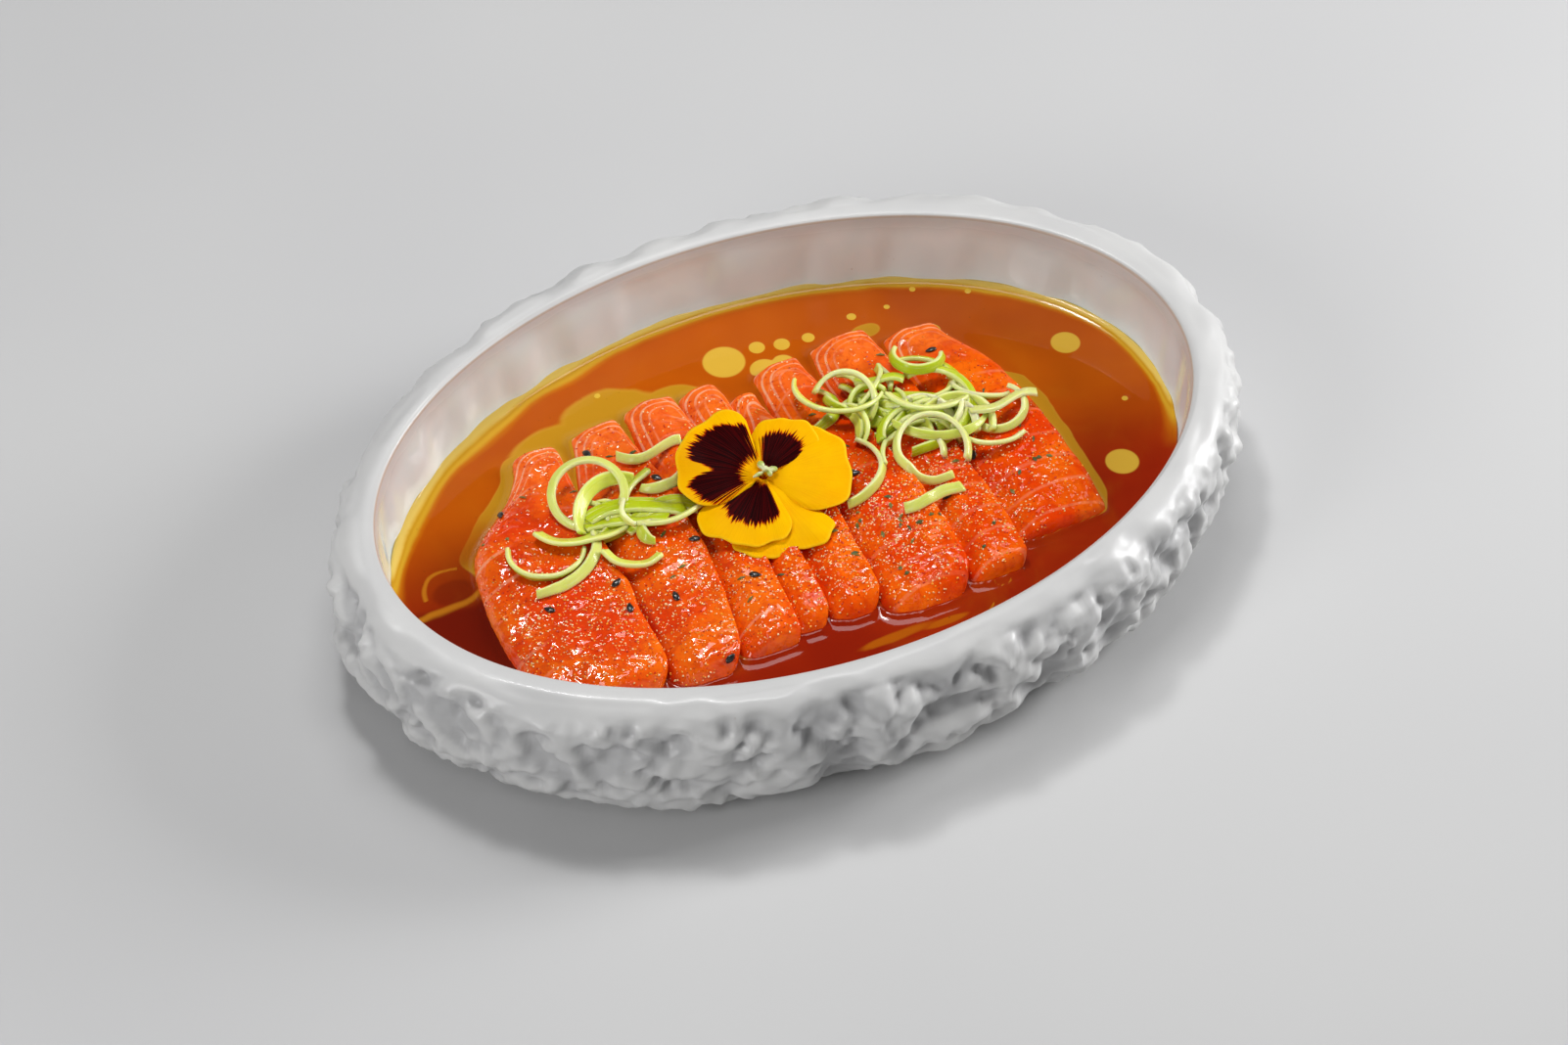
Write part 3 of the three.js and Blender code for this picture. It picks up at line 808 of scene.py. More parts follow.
def makeDressing(salmonTree):
    plan = saucePlan
    deselectAll()
    bpy.ops.mesh.primitive_grid_add(x_subdivisions=plan["columns"], y_subdivisions=plan["rows"], size=2)
    piece = startPiece("dressingPool")
    # the square grid is spread over the dish's oval
    across, up, _ = (getPoints(piece) * mm).T
    a = dishPlan["rimHalfLength"] - plan["wallInset"] + plan["intoWall"]
    b = dishPlan["rimHalfWidth"] - plan["wallInset"] + plan["intoWall"]
    x = across * np.sqrt(1 - up ** 2 / 2) * a
    y = up * np.sqrt(1 - across ** 2 / 2) * b
    flat = np.stack([x, y, 0 * x], axis=1)
    reach = np.hypot(x / a, y / b)
    toWall = (1 - reach) * np.hypot(x, y) / np.maximum(reach, 1e-6) - plan["intoWall"]
    near = nearestSalmon(salmonTree, x, y)
    # it creeps up the wall and the slices, and the drops stand out of it
    z = sauceLevel + plan["wallRise"] * np.exp(-np.clip(toWall, 0, 99) / 1.8)
    z = z + plan["sliceRise"] * np.exp(-near / 1.2)
    drops = np.max([1 - np.hypot(x - cx, y - cy) / r for cx, cy, r in plan["drops"]], axis=0)
    z = z + plan["dropHeight"] * np.sqrt(np.clip(drops, 0, 1)) + 0.12 * waves(flat, 17, 41) * 0.3
    setPoints(piece, np.stack([x, y, z], axis=1))
    paint(piece, "drop", np.clip(drops, -1, 1))
    paintOil(piece, flat, near)
    paintThreads(piece, flat)
    paintWallBand(piece, flat, toWall, np.degrees(np.arctan2(y / b, x / a)))
    paintShade(piece, flat)
    # a skirt and a floor close it under the surface
    bpy.ops.object.mode_set(mode="EDIT")
    bpy.ops.mesh.select_all(action="SELECT")
    bpy.ops.mesh.region_to_loop()
    bpy.ops.mesh.extrude_edges_move(TRANSFORM_OT_translate={"value": (0, 0, -plan["skirt"] * mm)})
    bpy.ops.transform.resize(value=(0.985, 0.98, 1), center_override=(0, 0, 0.01))
    bpy.ops.mesh.edge_face_add()
    bpy.ops.mesh.select_all(action="SELECT")
    bpy.ops.mesh.normals_make_consistent(inside=False)
    bpy.ops.object.mode_set(mode="OBJECT")
    piece.data.shade_smooth()
    finishPiece(piece, "amber_dressing", makeDressingMaterial(), "sauce")


# shreds of spring onion: each is part of a ring cut from the stalk

shredPlan = {
    "thick": 1.45,
    "tall": 2.8,
    "step": 0.8,  # between the rows along a shred
    "highSide": 63,  # degrees: the way the raised sides of the rings face
    # each heap: its solid, middle, half length and half width, degrees it is turned, how many loose shreds,
    # half length and half width of its core, lowest and highest shred, seed of its draws
    "heaps": {
        "Left": {"node": "scallion_heap_left", "middle": (-50, 9), "reach": (15, 8), "turn": 10, "loose": 3,
                 "core": (11, 5.5), "levels": (25.4, 27.2), "seed": 4},
        "Right": {"node": "scallion_heap_right", "middle": (41, 11), "reach": (25, 13), "turn": -20,
                  "loose": 26, "core": (16, 7), "levels": (25.2, 28.6), "seed": 9},
    },
    "coreLevel": 24.2,
    "tones": {
        "skin": ((0.74, 0.76, 0.22), (0.50, 0.60, 0.008)),
        "flesh": ((0.92, 0.90, 0.54), (0.72, 0.78, 0.10)),
        "cutEdge": (0.84, 0.87, 0.45),
        "threads": (0.80, 0.84, 0.50),
    },
    # the ones that stand out, listed one by one: x and y of the ring's middle, radius, first degree, degrees
    # it runs, height, lean, how far its high side is raised, width, greenness, how pointed its ends are
    "laidLeft": [
        (-53, 18, 10, 0, 360, 28.6, 75, 3, 0.85, 0.3, 0),
        (-47, 7, 13, 180, -125, 28.4, -40, 1, 1.5, 1, 0.2),
        (-56, 18, 15, 200, 100, 27, -50, 0, 1.7, 1, 0.1),
        (-71, 6, 10, 150, 190, 25.8, -25, 0, 1.15, 0.75, 0.5),
        (-74, 9, 17, 250, 100, 25.8, 50, 0, 1.1, 0.3, 0.2),
        (-50, -14, 25, 105, -65, 27.8, 75, 0, 1.9, 0.95, 0),
        (-56, -18, 27, 95, -50, 26.6, 80, 0, 1.9, 1, 0),
        (-40, -20, 26, 110, -50, 27.2, 80, 0, 1.8, 0.9, 0),
        (-34, 22, 23, 240, 50, 29.4, -30, 0, 1, 0.7, 0),
        (-16, 7, 31, 170, 20, 30, 0, 0, 0.55, 0.1, 0.3),
        (-47, 1, 11, 195, 90, 26.4, -50, 0, 1.1, 0.85, 0),
        (-42, -1, 3.5, 60, 190, 27.6, 35, 0, 1.3, 0.6, 0.4),
        (-6, 95, 72, 243, 15, 26.6, 60, 0, 1, 0.15, 0),
        (-32, 19, 7, 210, 130, 28, 50, 1, 1.1, 0.2, 0.2),
    ],
    "laidRight": [
        (53, 25, 7, 130, 210, 29.5, 25, 0, 1.1, 0.9, 0.1),
        (16, -16, 44, 68, -18, 29, 65, 0, 1.1, 0.75, 0),
        (28, 25, 13, 145, 170, 30, -35, -1, 1.1, 0.9, 0.7),
        (26, 18, 8.5, 135, -200, 30, 35, 2, 0.85, 0.25, 0.2),
        (52, 17, 14, 295, -110, 29.6, -50, 0, 1.35, 0.6, 0.4),
        (50, -64, 64, 85, -18, 29.6, 70, 0, 1.3, 0, 0),
        (67, -15, 21, 120, 30, 29.6, 15, 0, 0.85, 0.1, 0.4),
        (64, -2, 7.5, 190, 210, 28, 35, 2, 0.85, 0.2, 0.1),
        (61, -4, 10.5, 180, 120, 26.8, -35, 0, 1.1, 0.6, 0.2),
        (40, -8, 10, -85, -320, 28.6, 40, 2.5, 0.95, 0.2, 0.1),
        (36, -6, 7.5, 75, -115, 27.6, 35, 0, 0.95, 0.15, 0.2),
        (33, 10, 35, 283, -30, 27.4, 65, 0, 1.15, 0.4, 0),
        (12, -3, 13, 35, -135, 27.6, 35, 0, 1.05, 0.4, 0.1),
        (39, -1, 10, 170, -110, 28, 40, 0, 1.1, 0.85, 0),
    ],
}


def makeShredMaterial():
    tones = shredPlan["tones"]
    m = MaterialMaker("springOnion")
    threads = m.noise(1.0, 3, 0.6, m.stretched(m.plane("along", "around"), (0.10, 4.5, 1)))
    tint = m.math("ADD", m.attribute("green"), m.sway(m.noise(85, 2), 0.6))
    skin = m.cloudy(tint, 0.0, 0.95, tones["skin"])
    flesh = m.cloudy(tint, 0.1, 1.0, tones["flesh"])
    layered = m.cloudy(m.attribute("depth"), 0.25, 0.8, (flesh, skin))
    colour = m.layers(layered, (m.times(m.attribute("cutEdge"), 0.6), tones["cutEdge"]),
                      (m.between(threads, 0.54, 0.68, 0, 0.42), tones["threads"]))
    m.set(Base_Color=colour, Roughness=m.between(m.noise(200, 2), 0.3, 0.7, 0.2, 0.38))
    m.set(Subsurface_Weight=0.5, Subsurface_Radius=(1.2, 1.6, 0.5), Subsurface_Scale=mm)
    m.set(Normal=m.bump(threads, 0.5, 0.15), Specular_IOR_Level=0.2)
    m.set(Coat_Weight=0.3, Coat_Roughness=0.08)
    return m.material


def shredSection():
    # a flat bar with round edges, dished a little on its inner face: x across its thickness, y up it
    outer = [(0.5, h) for h in (-0.38, -0.13, 0.13, 0.38)]
    top = [(0.34, 0.49), (0, 0.53), (-0.34, 0.49)]
    inner = [(-0.5, 0.38), (-0.4, 0.13), (-0.4, -0.13), (-0.5, -0.38)]
    bottom = [(-0.34, -0.49), (0, -0.53), (0.34, -0.49)]
    return np.array(outer + top + inner + bottom + outer[:1])


def makeShred(row, draw, tree):
    middleX, middleY, radius, first, run, height, lean, raised, wide, green, pointed = row
    sweep = math.radians(run)
    ring = abs(run) >= 360  # a whole ring stays round and level
    steps = max(10, int(abs(sweep) * radius / shredPlan["step"]))
    t = np.linspace(0, 1, steps + 1)
    a = math.radians(first) + sweep * t
    bowed = radius * (1 + (0 if ring else 0.04) * np.sin(t * 5 + draw.uniform(0, 6)))
    droop = 0 if ring else 1.6 * (2 * t - 1) ** 2
    z = height + raised * np.cos(a - math.radians(shredPlan["highSide"])) - droop
    wander = (0 if ring else draw.uniform(-16, 16)) * np.sin(t * 3)
    roll = np.radians(lean + draw.uniform(-6, 6) + wander)[:, None]
    narrow = 1 - pointed * (1 - smooth(0, 0.3, np.minimum(t, 1 - t)))
    thick = shredPlan["thick"] * mix(0.6, 1, narrow)
    tall = shredPlan["tall"] * wide * narrow
    x = middleX + bowed * np.cos(a)
    y = middleY + bowed * np.sin(a)
    # it lies on the salmon where it would sink in
    standing = 0.5 * (np.abs(np.cos(roll[:, 0])) * tall + np.abs(np.sin(roll[:, 0])) * thick)
    for i in range(steps + 1):
        found = spotOn(tree, x[i], y[i])
        if found:
            z[i] = max(z[i], found[0].z / mm + standing[i] * 0.9)
    for _ in range(3):
        z[1:-1] = (z[:-2] + 2 * z[1:-1] + z[2:]) / 4
    outward = np.stack([np.cos(a), np.sin(a), 0 * a], axis=1)
    upward = np.array([[0, 0, 1.0]])
    side = outward * np.cos(roll) + upward * np.sin(roll)
    high = upward * np.cos(roll) - outward * np.sin(roll)
    section = shredSection()
    points = (np.stack([x, y, z], axis=1)[:, None, :]
              + side[:, None, :] * section[None, :, :1] * thick[:, None, None]
              + high[:, None, :] * section[None, :, 1:] * tall[:, None, None])
    piece = gridPiece("shred", points)
    # depth goes from 0 on the inner face to 1 on the outer skin
    paint(piece, "depth", np.tile(section[:, 0] + 0.5, steps + 1))
    paint(piece, "cutEdge", np.tile((np.abs(section[:, 1]) > 0.45) * 1.0, steps + 1))
    paint(piece, "green", np.full((steps + 1) * len(section), green))
    paint(piece, "along", np.repeat(t * abs(sweep) * radius + draw.uniform(0, 50), len(section)))
    paint(piece, "around", np.tile(section[:, 1] * 2 + section[:, 0] * 0.5, steps + 1))
    closeTube(piece)
    return piece


def closeTube(piece):
    # the long seam is merged and the open ends get a face each
    bpy.ops.object.mode_set(mode="EDIT")
    bpy.ops.mesh.select_all(action="SELECT")
    bpy.ops.mesh.remove_doubles(threshold=0.004 * mm)
    bpy.ops.mesh.fill_holes(sides=0)
    bpy.ops.mesh.select_all(action="SELECT")
    bpy.ops.mesh.normals_make_consistent(inside=False)
    bpy.ops.object.mode_set(mode="OBJECT")


def turnedPlace(heap, across, along):
    # a place given along and across the heap, as x and y on the dish
    turn = math.radians(heap["turn"])
    x = heap["middle"][0] + across * math.cos(turn) - along * math.sin(turn)
    y = heap["middle"][1] + across * math.sin(turn) + along * math.cos(turn)
    return x, y


def looseShreds(heap, draw):
    # shreds strewn over the heap, the later ones higher
    rows = []
    halfLength, halfWide = heap["reach"]
    for n in range(heap["loose"]):
        off = draw.uniform(0, 2 * math.pi)
        far = math.sqrt(draw.random())
        x, y = turnedPlace(heap, halfLength * far * math.cos(off), halfWide * far * math.sin(off))
        radius = draw.uniform(6, 17)
        first = draw.uniform(0, 360)
        run = draw.choice((-1, 1)) * draw.uniform(60, 170)
        # the shred itself, and not its ring's middle, lies at the drawn place
        half = math.radians(first + run / 2)
        x -= radius * math.cos(half) * 0.8
        y -= radius * math.sin(half) * 0.8
        level = mix(*heap["levels"], (n + draw.random()) / heap["loose"])
        lean = draw.uniform(-55, 60)
        raised = draw.uniform(-0.6, 1.2)
        wide = draw.uniform(0.8, 1.25)
        green = draw.choice((0.15, 0.5, 0.7, 0.85, 0.95, 1))
        pointed = draw.choice((0, 0, 0.2, 0.6))
        rows.append((x, y, radius, first, run, level, lean, raised, wide, green, pointed))
    return rows


def makeCore(heap):
    # a low ridged mat under the middle of the shreds
    deselectAll()
    bpy.ops.mesh.primitive_uv_sphere_add(segments=64, ring_count=24, radius=mm)
    core = startPiece("core")
    points = getPoints(core)
    across, along = points[:, 0] * heap["core"][0], points[:, 1] * heap["core"][1]
    x, y = turnedPlace(heap, across, along)
    ridges = waves(np.stack([across * 0.35, along, 0 * across], axis=1), 1.6, heap["seed"])
    z = shredPlan["coreLevel"] + points[:, 2] * (2.4 + 0.5 * ridges)
    setPoints(core, np.stack([x, y, z], axis=1))
    paint(core, "depth", np.full(len(x), 0.8))
    paint(core, "cutEdge", np.zeros(len(x)))
    paint(core, "green", np.full(len(x), 0.8))
    paint(core, "along", across)
    paint(core, "around", along)
    return core


def makeShreds(tree):
    material = makeShredMaterial()
    for side, heap in shredPlan["heaps"].items():
        draw = random.Random(heap["seed"])
        rows = looseShreds(heap, draw) + shredPlan["laid" + side]
        shreds = [makeShred(row, draw, tree) for row in rows]
        whole = joinPieces("springOnion" + side, shreds + [makeCore(heap)])
        whole.data.shade_smooth()
        finishPiece(whole, "spring_onion", material, heap["node"])


# the viola flower

violaPlan = {
    "middle": (-8.3, 0.2, 31.0),
    "tilt": 9.0,  # degrees
    "heading": -26.75,  # degrees
    "thickness": 0.28,
    "rows": 34,
    "columns": 64,
    "throat": 7.0,  # the darker yellow reaches this far out
    # each petal: the way it points, half its spread, its reach, how blunt its two sides are, how far it
    # leans to one side, height in the stack, depth of the dent in its outer edge; then its blotch: the way
    # it points, where it starts, how far it reaches, half its spread, depth and place of its notch
    "petals": [
        {"points": 287, "spread": 42, "reach": 26.0, "blunt": (6, 7), "skew": 0.02, "lift": -1.6,
         "dent": 0.07},
        {"points": 16, "spread": 61, "reach": 24.6, "blunt": (3, 3.3), "skew": 0.0, "lift": -0.7,
         "dent": 0.0},
        {"points": 253, "spread": 49, "reach": 23.4, "blunt": (3.4, 4.6), "skew": -0.12, "lift": 0.1,
         "dent": 0.0, "blotch": (254, 2.4, 17.0, 37, 0.0, 0)},
        {"points": 68, "spread": 47, "reach": 20.6, "blunt": (2.6, 2.8), "skew": -0.16, "lift": 0.3,
         "dent": 0.0, "blotch": (60, 2.4, 15.6, 34, 0.05, 0.2)},
        {"points": 166, "spread": 63, "reach": 24.4, "blunt": (6, 2.6), "skew": -0.04, "lift": 1.3,
         "dent": 0.0, "blotch": (162, 5.8, 21.8, 56, 0.34, 0.25)},
    ],
    # the stigma, two hairy tufts and the green base of the plain petals: x, y, z, length, width, height, turn
    "heart": [(-0.6, 1.8, 3.0, 2.6, 1.9, 1.8, 100), (0.6, 0.4, 3.2, 2.4, 1.7, 1.7, 140),
              (-1.2, -1.2, 2.9, 3.6, 1.1, 1.2, 32), (1.8, -0.6, 2.6, 2.2, 1.5, 1.3, 120),
              (2.4, 0.8, 2.3, 3.4, 2.0, 1.3, 15)],
    "tones": {
        "yellow": ((0.92, 0.42, 0.0), (0.97, 0.52, 0.0)),
        "throat": (0.80, 0.36, 0.0),
        "veins": (0.80, 0.33, 0.0),
        "rim": (1.0, 0.66, 0.02),
        "redRim": (0.55, 0.02, 0.0),
        "wine": ((0.009, 0.0002, 0.0006), (0.060, 0.0005, 0.001)),
        "heart": ((0.42, 0.50, 0.08), (0.74, 0.76, 0.44)),
    },
}


def petalPoints(petal, draw):
    plan = violaPlan
    v = np.linspace(0.04, 1, plan["rows"])[:, None] ** 0.9
    u = np.linspace(-1, 1, plan["columns"])[None, :]
    blunt = np.where(u < 0, petal["blunt"][0], petal["blunt"][1])
    # a rounded fan, blunter on one side than on the other, and never quite closed at its two edges
    fan = np.maximum(1 - np.abs(u) ** blunt, 0) ** (1 / blunt)
    edgeRipple = 0.018 * np.sin(9 * u + draw.uniform(0, 6)) + 0.012 * np.sin(17 * u + draw.uniform(0, 6))
    reach = petal["reach"] * (np.maximum(fan, 0.3) * (1 + petal["skew"] * u) + edgeRipple
                              - petal["dent"] * np.exp(-(u / 0.3) ** 2))
    degrees = petal["points"] + petal["spread"] * u + 0 * v
    a = np.radians(degrees)
    r = reach * v
    x = r * np.cos(a)
    y = r * np.sin(a)
    flat = np.stack([x.ravel(), y.ravel(), np.full(x.size, petal["lift"] * 40)], axis=1)
    ripple = 0.55 * waves(flat, 8, 61).reshape(x.shape) * v
    frill = 0.5 * np.sin(degrees / 9 + draw.uniform(0, 6)) * smooth(0.55, 1, v)
    cup = 1.2 * smooth(0, 0.35, v) - 1.5 * v ** 3
    z = petal["lift"] * smooth(0, 0.5, v) + cup + ripple + frill - 0.9 * np.abs(u) ** 3
    return np.stack([x, y, z], axis=2), v + 0 * u, u + 0 * v, r, degrees


def blotchField(petal, r, degrees):
    # above 0 inside the petal's dark blotch, in mm from its outline
    if "blotch" not in petal:
        return np.full(r.shape, -9.0)
    towards, start, reach, half, notch, notchAt = petal["blotch"]
    off = (degrees - towards) / half
    outer = reach * (1 - 0.25 * np.abs(off) ** 2.2) - notch * reach * np.exp(-((off - notchAt) / 0.13) ** 2)
    sides = (1 - np.abs(off)) * half * 0.22
    return np.clip(np.minimum(np.minimum(r - start, outer - r), sides), -9, 6)


def makePetalMaterial():
    tones = violaPlan["tones"]
    m = MaterialMaker("violaPetal")
    polar = m.plane("turn", "reach")
    rays = m.noise(1.0, 3, 0.6, m.stretched(polar, (0.55, 0.035, 1)))
    fineRays = m.noise(1.0, 2, 0.5, m.stretched(polar, (1.3, 0.05, 1)))
    cloud = m.noise(60, 3)
    # the blotch is frayed along the rays, with a thin red rim
    frayed = m.math("ADD", m.math("ADD", m.attribute("blotch"), m.sway(rays, 7.5)), m.sway(fineRays, 4.0))
    wine = m.cloudy(fineRays, 0.4, 0.66, tones["wine"])
    colour = m.layers(m.cloudy(cloud, 0.3, 0.72, tones["yellow"]),
                      (m.between(m.attribute("reach"), violaPlan["throat"], 2.0), tones["throat"]),
                      (m.between(fineRays, 0.5, 0.66, 0, 0.35), tones["veins"]),
                      (m.between(m.attribute("rim"), 0.955, 1.0, 0, 0.5), tones["rim"]),
                      (m.between(frayed, -0.6, 0.1), tones["redRim"]),
                      (m.between(frayed, 0.05, 0.45), wine))
    m.set(Base_Color=colour, Roughness=m.between(cloud, 0.3, 0.7, 0.42, 0.6))
    m.set(Subsurface_Weight=0.12, Subsurface_Radius=(1.0, 0.6, 0.1), Subsurface_Scale=mm)
    veins = m.bump(rays, 0.35, 0.2)
    m.set(Normal=m.bump(fineRays, 0.3, 0.1, veins), Specular_IOR_Level=0.02)
    return m.material


def makeHeartMaterial():
    m = MaterialMaker("violaHeart")
    pale = m.cloudy(m.noise(500, 3), 0.35, 0.65, violaPlan["tones"]["heart"])
    m.set(Base_Color=pale, Roughness=0.5, Normal=m.bump(m.noise(1500, 3), 0.5, 0.15))
    m.set(Subsurface_Weight=0.15, Subsurface_Radius=(1.0, 1.0, 0.4), Subsurface_Scale=mm)
    return m.material


def makeBead(x, y, z, length, width, height, turn):
    # a small uneven bead, drawn out along one way
    deselectAll()
    bpy.ops.mesh.primitive_uv_sphere_add(segments=20, ring_count=12, radius=0.5 * mm)
    bead = startPiece("bead")
    points = getPoints(bead)
    points *= 1 + 0.12 * waves(points, 0.35, int(length * 10))[:, None]
    points *= (length, width, height)
    angle = math.radians(turn)
    turned = points.copy()
    turned[:, 0] = points[:, 0] * math.cos(angle) - points[:, 1] * math.sin(angle) + x
    turned[:, 1] = points[:, 0] * math.sin(angle) + points[:, 1] * math.cos(angle) + y
    turned[:, 2] += z
    setPoints(bead, turned)
    return bead


def layFlower(piece):
    plan = violaPlan
    tilt = Matrix.Rotation(math.radians(plan["tilt"]), 4, "X")
    heading = Matrix.Rotation(math.radians(plan["heading"]), 4, "Z")
    piece.data.transform(Matrix.Translation(Vector(plan["middle"]) * mm) @ heading @ tilt)


def makeViola():
    draw = random.Random(5)
    petals = []
    for row in violaPlan["petals"]:
        points, v, u, r, degrees = petalPoints(row, draw)
        petal = gridPiece("petal", points)
        paint(petal, "blotch", blotchField(row, r, degrees).ravel())
        paint(petal, "turn", degrees.ravel())
        paint(petal, "reach", r.ravel())
        paint(petal, "rim", np.maximum(v, np.abs(u) * smooth(0.2, 0.5, v)).ravel())
        applyModifier(petal, "SOLIDIFY", thickness=violaPlan["thickness"] * mm, offset=0)
        petals.append(petal)
    flower = joinPieces("violaPetals", petals)
    layFlower(flower)
    flower.data.shade_smooth()
    finishPiece(flower, "petal", makePetalMaterial(), "viola_flower")
    heart = joinPieces("violaHeart", [makeBead(*row) for row in violaPlan["heart"]])
    layFlower(heart)
    heart.data.shade_smooth()
    finishPiece(heart, "petal", makeHeartMaterial())


# seeds, spice and herbs

sprinklePlan = {
    "seedLength": 3.3,
    "seedWidth": 1.95,
    "seedRaise": 0.35,
    # black sesame: which slice it is on, how far along from its front and across from its left, heading
    "seeds": [(1, 0.8, 0.1, 40), (2, 0.9, 0.2, 40), (3, 0.8, 0.3, 0), (2, 0.8, 0.8, -30),
              (2, 0.7, 0.9, 40), (1, 0.4, 0.4, -30), (1, 0.4, 0.9, 90), (1, 0.3, 0.9, 90),
              (2, 0.45, 0.9, -60), (2, 0.3, 0.4, 80), (3, 0.25, 0.6, 90), (2, 0.05, 0.8, 30),
              (6, 0.5, 0.4, 60), (8, 0.4, 0.1, -30), (7, 0.3, 0.3, -80), (8, 0.85, 0.5, -30),
              (8, 0.6, 0.5, 40)],
    "grains": 8500,
    "herbs": 60,
    "field": ((-92, 77), (-56, 44)),  # x and y where they may fall
    "lowest": 1.0,  # over the dressing
    "levelEnough": 0.6,  # height of the slope's normal, so that none hangs on a steep side
    "tones": {
        "seed": ((0.006, 0.006, 0.007), (0.03, 0.028, 0.026)),
        # the pale first tone is partly the spice's own colour and partly painted glints of the wet film
        "grains": ((1.0, 0.78, 0.42), (0.98, 0.42, 0.03)),
        "redGrains": (0.55, 0.03, 0.01),
        "herbs": ((0.045, 0.085, 0.018), (0.16, 0.15, 0.02)),
    },
}


def layOn(points, spot, normal, turn, above):
    # turns a small shape to lie on a slope, its middle this far above it
    onSlope = normal.to_track_quat("Z", "Y").to_matrix() @ Matrix.Rotation(turn, 3, "Z")
    return points @ np.array(onSlope).T + (np.array(spot) + np.array(normal) * above * mm) / mm


def makeSeeds(tree):
    plan = sprinklePlan
    seeds = []
    for number, alongShare, acrossShare, heading in plan["seeds"]:
        front, tip = slicePlan["slices"][number - 1][:2]
        y = mix(front, tip, alongShare)
        left, right = sliceEdges(number - 1, np.array(y))
        found = spotOn(tree, float(mix(left, right, acrossShare)), y)
        if not found:
            continue
        deselectAll()
        bpy.ops.mesh.primitive_uv_sphere_add(segments=20, ring_count=12, radius=0.5 * mm)
        seed = startPiece("seed")
        points = getPoints(seed)
        # a drop: pointed at one end, and flat
        girth = 1 - 0.34 * smooth(-0.2, 1.0, points[:, 0] * 2)
        points *= np.stack([0 * girth + plan["seedLength"], girth * plan["seedWidth"], girth], axis=1)
        setPoints(seed, layOn(points, *found, math.radians(heading), plan["seedRaise"]))
        seeds.append(seed)
    whole = joinPieces("blackSesame", seeds)
    whole.data.shade_smooth()
    m = MaterialMaker("blackSesameSkin")
    m.set(Base_Color=m.cloudy(m.noise(700, 2), 0.35, 0.7, plan["tones"]["seed"]))
    m.set(Roughness=0.28, Normal=m.bump(m.noise(1800, 2), 0.4, 0.08), Coat_Weight=0.4, Coat_Roughness=0.1)
    finishPiece(whole, "black_sesame", m.material)


def scatterOn(name, tree, count, draw, shapeMaker, chance):
    # many small closed shapes in one mesh, each with a tone of its own
    plan = sprinklePlan
    lowest = (sauceLevel + plan["lowest"]) * mm
    corners, faces, tones = [], [], []
    total = 0
    while count > 0:
        x, y = [draw.uniform(*reach) for reach in plan["field"]]
        if draw.random() > chance(x, y):
            continue
        found = spotOn(tree, x, y)
        if not found or found[0].z < lowest or found[1].z < plan["levelEnough"]:
            continue
        shape, shapeFaces, above = shapeMaker(draw)
        corners.append(layOn(shape, *found, draw.uniform(0, 2 * math.pi), above))
        faces += [[i + total for i in face] for face in shapeFaces]
        tones += [draw.random()] * len(shape)
        total += len(shape)
        count -= 1
    mesh = bpy.data.meshes.new(name)
    mesh.from_pydata((np.concatenate(corners) * mm).tolist(), [], faces)
    piece = bpy.data.objects.new(name, mesh)
    bpy.context.collection.objects.link(piece)
    paint(piece, "tone", tones)
    return piece


def grainShape(draw):
    # an eight-sided crumb
    size = draw.uniform(0.13, 0.33)
    ends = [(1, 0, 0), (-1, 0, 0), (0, 1, 0), (0, -1, 0), (0, 0, 1), (0, 0, -1)]
    stretch = np.array([draw.uniform(0.8, 1.5), draw.uniform(0.8, 1.2), draw.uniform(0.7, 1.0)])
    faces = [(a, b, 4) for a, b in ((0, 2), (2, 1), (1, 3), (3, 0))]
    faces += [(b, a, 5) for a, b in ((0, 2), (2, 1), (1, 3), (3, 0))]
    return np.array(ends) * size * stretch, faces, size * 0.35


def herbShape(draw):
    # a thin flake, bent once
    length, width = draw.uniform(0.6, 1.3), draw.uniform(0.3, 0.6)
    bend = draw.uniform(0.1, 0.35)
    top = [(-length, -width * 0.4, 0), (0, -width, bend), (length, -width * 0.2, 0),
           (length * 0.8, width * 0.4, 0), (0, width, bend), (-length, width * 0.5, 0)]
    shape = np.array(top + [(x, y, z - 0.12) for x, y, z in top])
    faces = [(0, 1, 4, 5), (1, 2, 3, 4), (11, 10, 7, 6), (10, 9, 8, 7)]
    faces += [(i, i + 6, (i + 1) % 6 + 6, (i + 1) % 6) for i in range(6)]
    return shape, faces, 0.12


def grainChance(x, y):
    # thickest in the middle of the dish and on the front half
    ridge = math.exp(-((y + 22) / 24) ** 2)
    sparse = 1 - 0.55 * smooth(44, 62, x)  # the last slice has the fewest
    return sparse * (0.12 + 0.88 * ridge * (0.55 + 0.45 * math.exp(-((x - 18) / 34) ** 2)))


def herbChance(x, y):
    return 0.08 + 0.9 * math.exp(-((x - 14) / 14) ** 2 - ((y + 24) / 12) ** 2)


def makeSprinkles(tree):
    plan = sprinklePlan
    tones = plan["tones"]
    draw = random.Random(11)
    grains = scatterOn("groundSpice", tree, plan["grains"], draw, grainShape, grainChance)
    m = MaterialMaker("groundSpiceGrains")
    # the pale tone is partly the spice's colour and partly painted glints of the wet film
    warm = m.cloudy(m.attribute("tone"), 0.35, 0.5, tones["grains"])
    m.set(Base_Color=m.cloudy(m.attribute("tone"), 0.65, 0.85, (warm, tones["redGrains"])))
    m.set(Roughness=m.between(m.noise(900, 2), 0.3, 0.7, 0.15, 0.4))
    m.set(Normal=m.bump(m.noise(2500, 2), 0.3, 0.05))
    finishPiece(grains, "spice", m.material)
    herbs = scatterOn("driedHerbs", tree, plan["herbs"], draw, herbShape, herbChance)
    m = MaterialMaker("driedHerbFlakes")
    m.set(Base_Color=m.cloudy(m.attribute("tone"), 0.2, 0.8, tones["herbs"]))
    m.set(Roughness=0.5, Normal=m.bump(m.noise(1500, 2), 0.4, 0.06))
    finishPiece(herbs, "spice", m.material)


# floor, light and camera

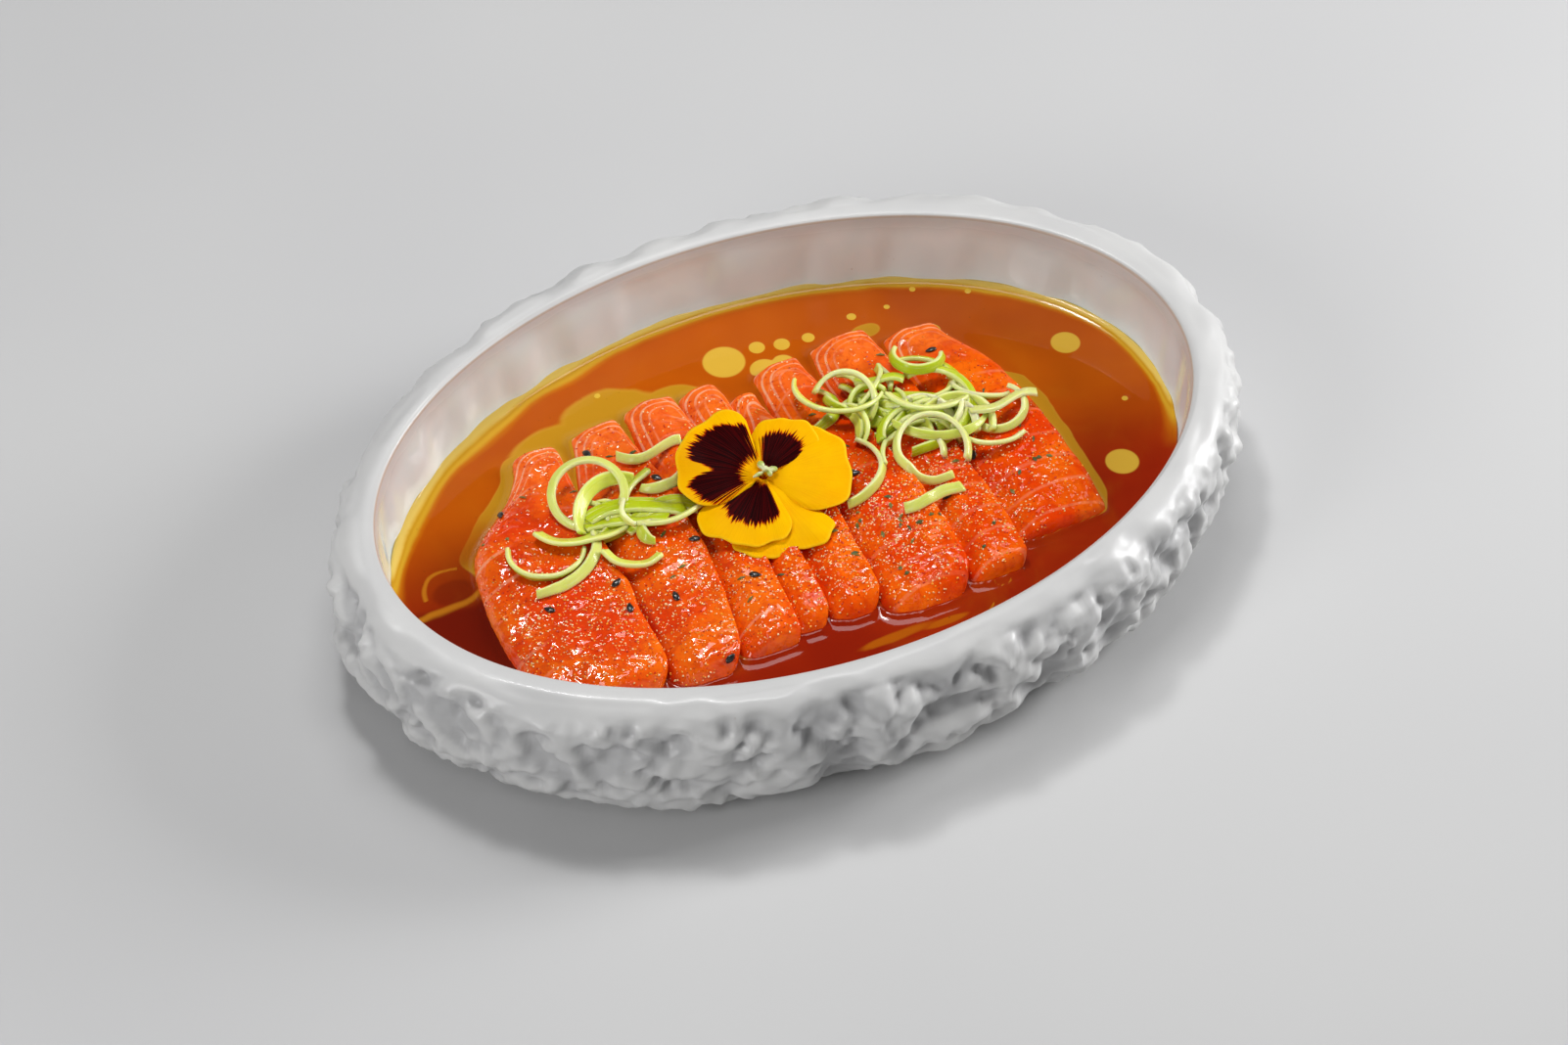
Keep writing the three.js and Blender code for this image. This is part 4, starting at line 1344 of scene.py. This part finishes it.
studio = {
    "floorHalf": 2.5,  # metres
    "floorTones": ((0.56, 0.56, 0.565), (0.60, 0.60, 0.60)),
    "worldGrey": 0.10,
    # name, place and size in metres, power in watts
    "lamps": [("softboxBehind", (0.13, 0.30, 1.08), (0.5, 0.36), 3.4),
              ("keyBehind", (-0.03, 0.36, 1.02), (0.14, 0.14), 2.8),
              ("softboxRight", (1.05, -0.15, 0.46), (0.35, 0.6), 11.0),
              ("softboxLeft", (-0.95, -0.30, 0.50), (0.3, 0.6), 4.6),
              ("softboxFront", (-0.25, -0.60, 1.15), (0.35, 0.35), 0.7)],
    # the camera: its direction in degrees, the place it looks at and its distance in metres, its lens in mm
    "azimuth": -26.75,
    "elevation": 47.5,
    "aim": (-0.0156, -0.027, 0.0425),
    "distance": 1.045,
    "lens": 89.9,
}


def makeFloor():
    deselectAll()
    bpy.ops.mesh.primitive_plane_add(size=studio["floorHalf"] * 2, location=(0, 0, 0))
    floor = startPiece("studioFloor")
    m = MaterialMaker("paleFloor")
    m.set(Base_Color=m.cloudy(m.noise(3, 2), 0.3, 0.7, studio["floorTones"]))
    m.set(Roughness=m.between(m.noise(8, 2), 0.3, 0.7, 0.75, 0.9), Specular_IOR_Level=0.1)
    floor.data.materials.append(m.material)


def makeLamps():
    world = bpy.data.worlds.new("softRoom")
    world.use_nodes = True
    grey = studio["worldGrey"]
    world.node_tree.nodes["Background"].inputs["Color"].default_value = (grey, grey, grey, 1)
    bpy.context.scene.world = world
    for name, place, size, power in studio["lamps"]:
        bpy.ops.object.light_add(type="AREA", location=place)
        lamp = bpy.context.active_object
        lamp.name = name
        lamp.data.shape = "RECTANGLE"
        lamp.data.size, lamp.data.size_y = size
        lamp.data.energy = power
        lamp.rotation_euler = (-Vector(place)).to_track_quat("-Z", "Y").to_euler()


def makeCamera():
    turn = math.radians(studio["azimuth"])
    rise = math.radians(studio["elevation"])
    aim = Vector(studio["aim"])
    back = Vector((math.sin(turn) * math.cos(rise), -math.cos(turn) * math.cos(rise), math.sin(rise)))
    bpy.ops.object.camera_add(location=aim + back * studio["distance"])
    camera = bpy.context.active_object
    camera.rotation_euler = (-back).to_track_quat("-Z", "Y").to_euler()
    camera.data.lens = studio["lens"]
    camera.data.sensor_width = 36
    camera.data.dof.use_dof = False
    bpy.context.scene.camera = camera
    bpy.context.scene.view_settings.view_transform = "Standard"


makeFloor()
makeLamps()
makeCamera()
print("floor, lamps and camera stand")
makeDish()
print("dish made")
salmonTree = treeOver(makeSalmon())
print("salmon slices made")
makeDressing(salmonTree)
print("dressing poured")
makeShreds(salmonTree)
print("spring onion laid on")
makeViola()
print("viola made")
makeSeeds(salmonTree)
makeSprinkles(salmonTree)
print("seeds, spice and herbs scattered")
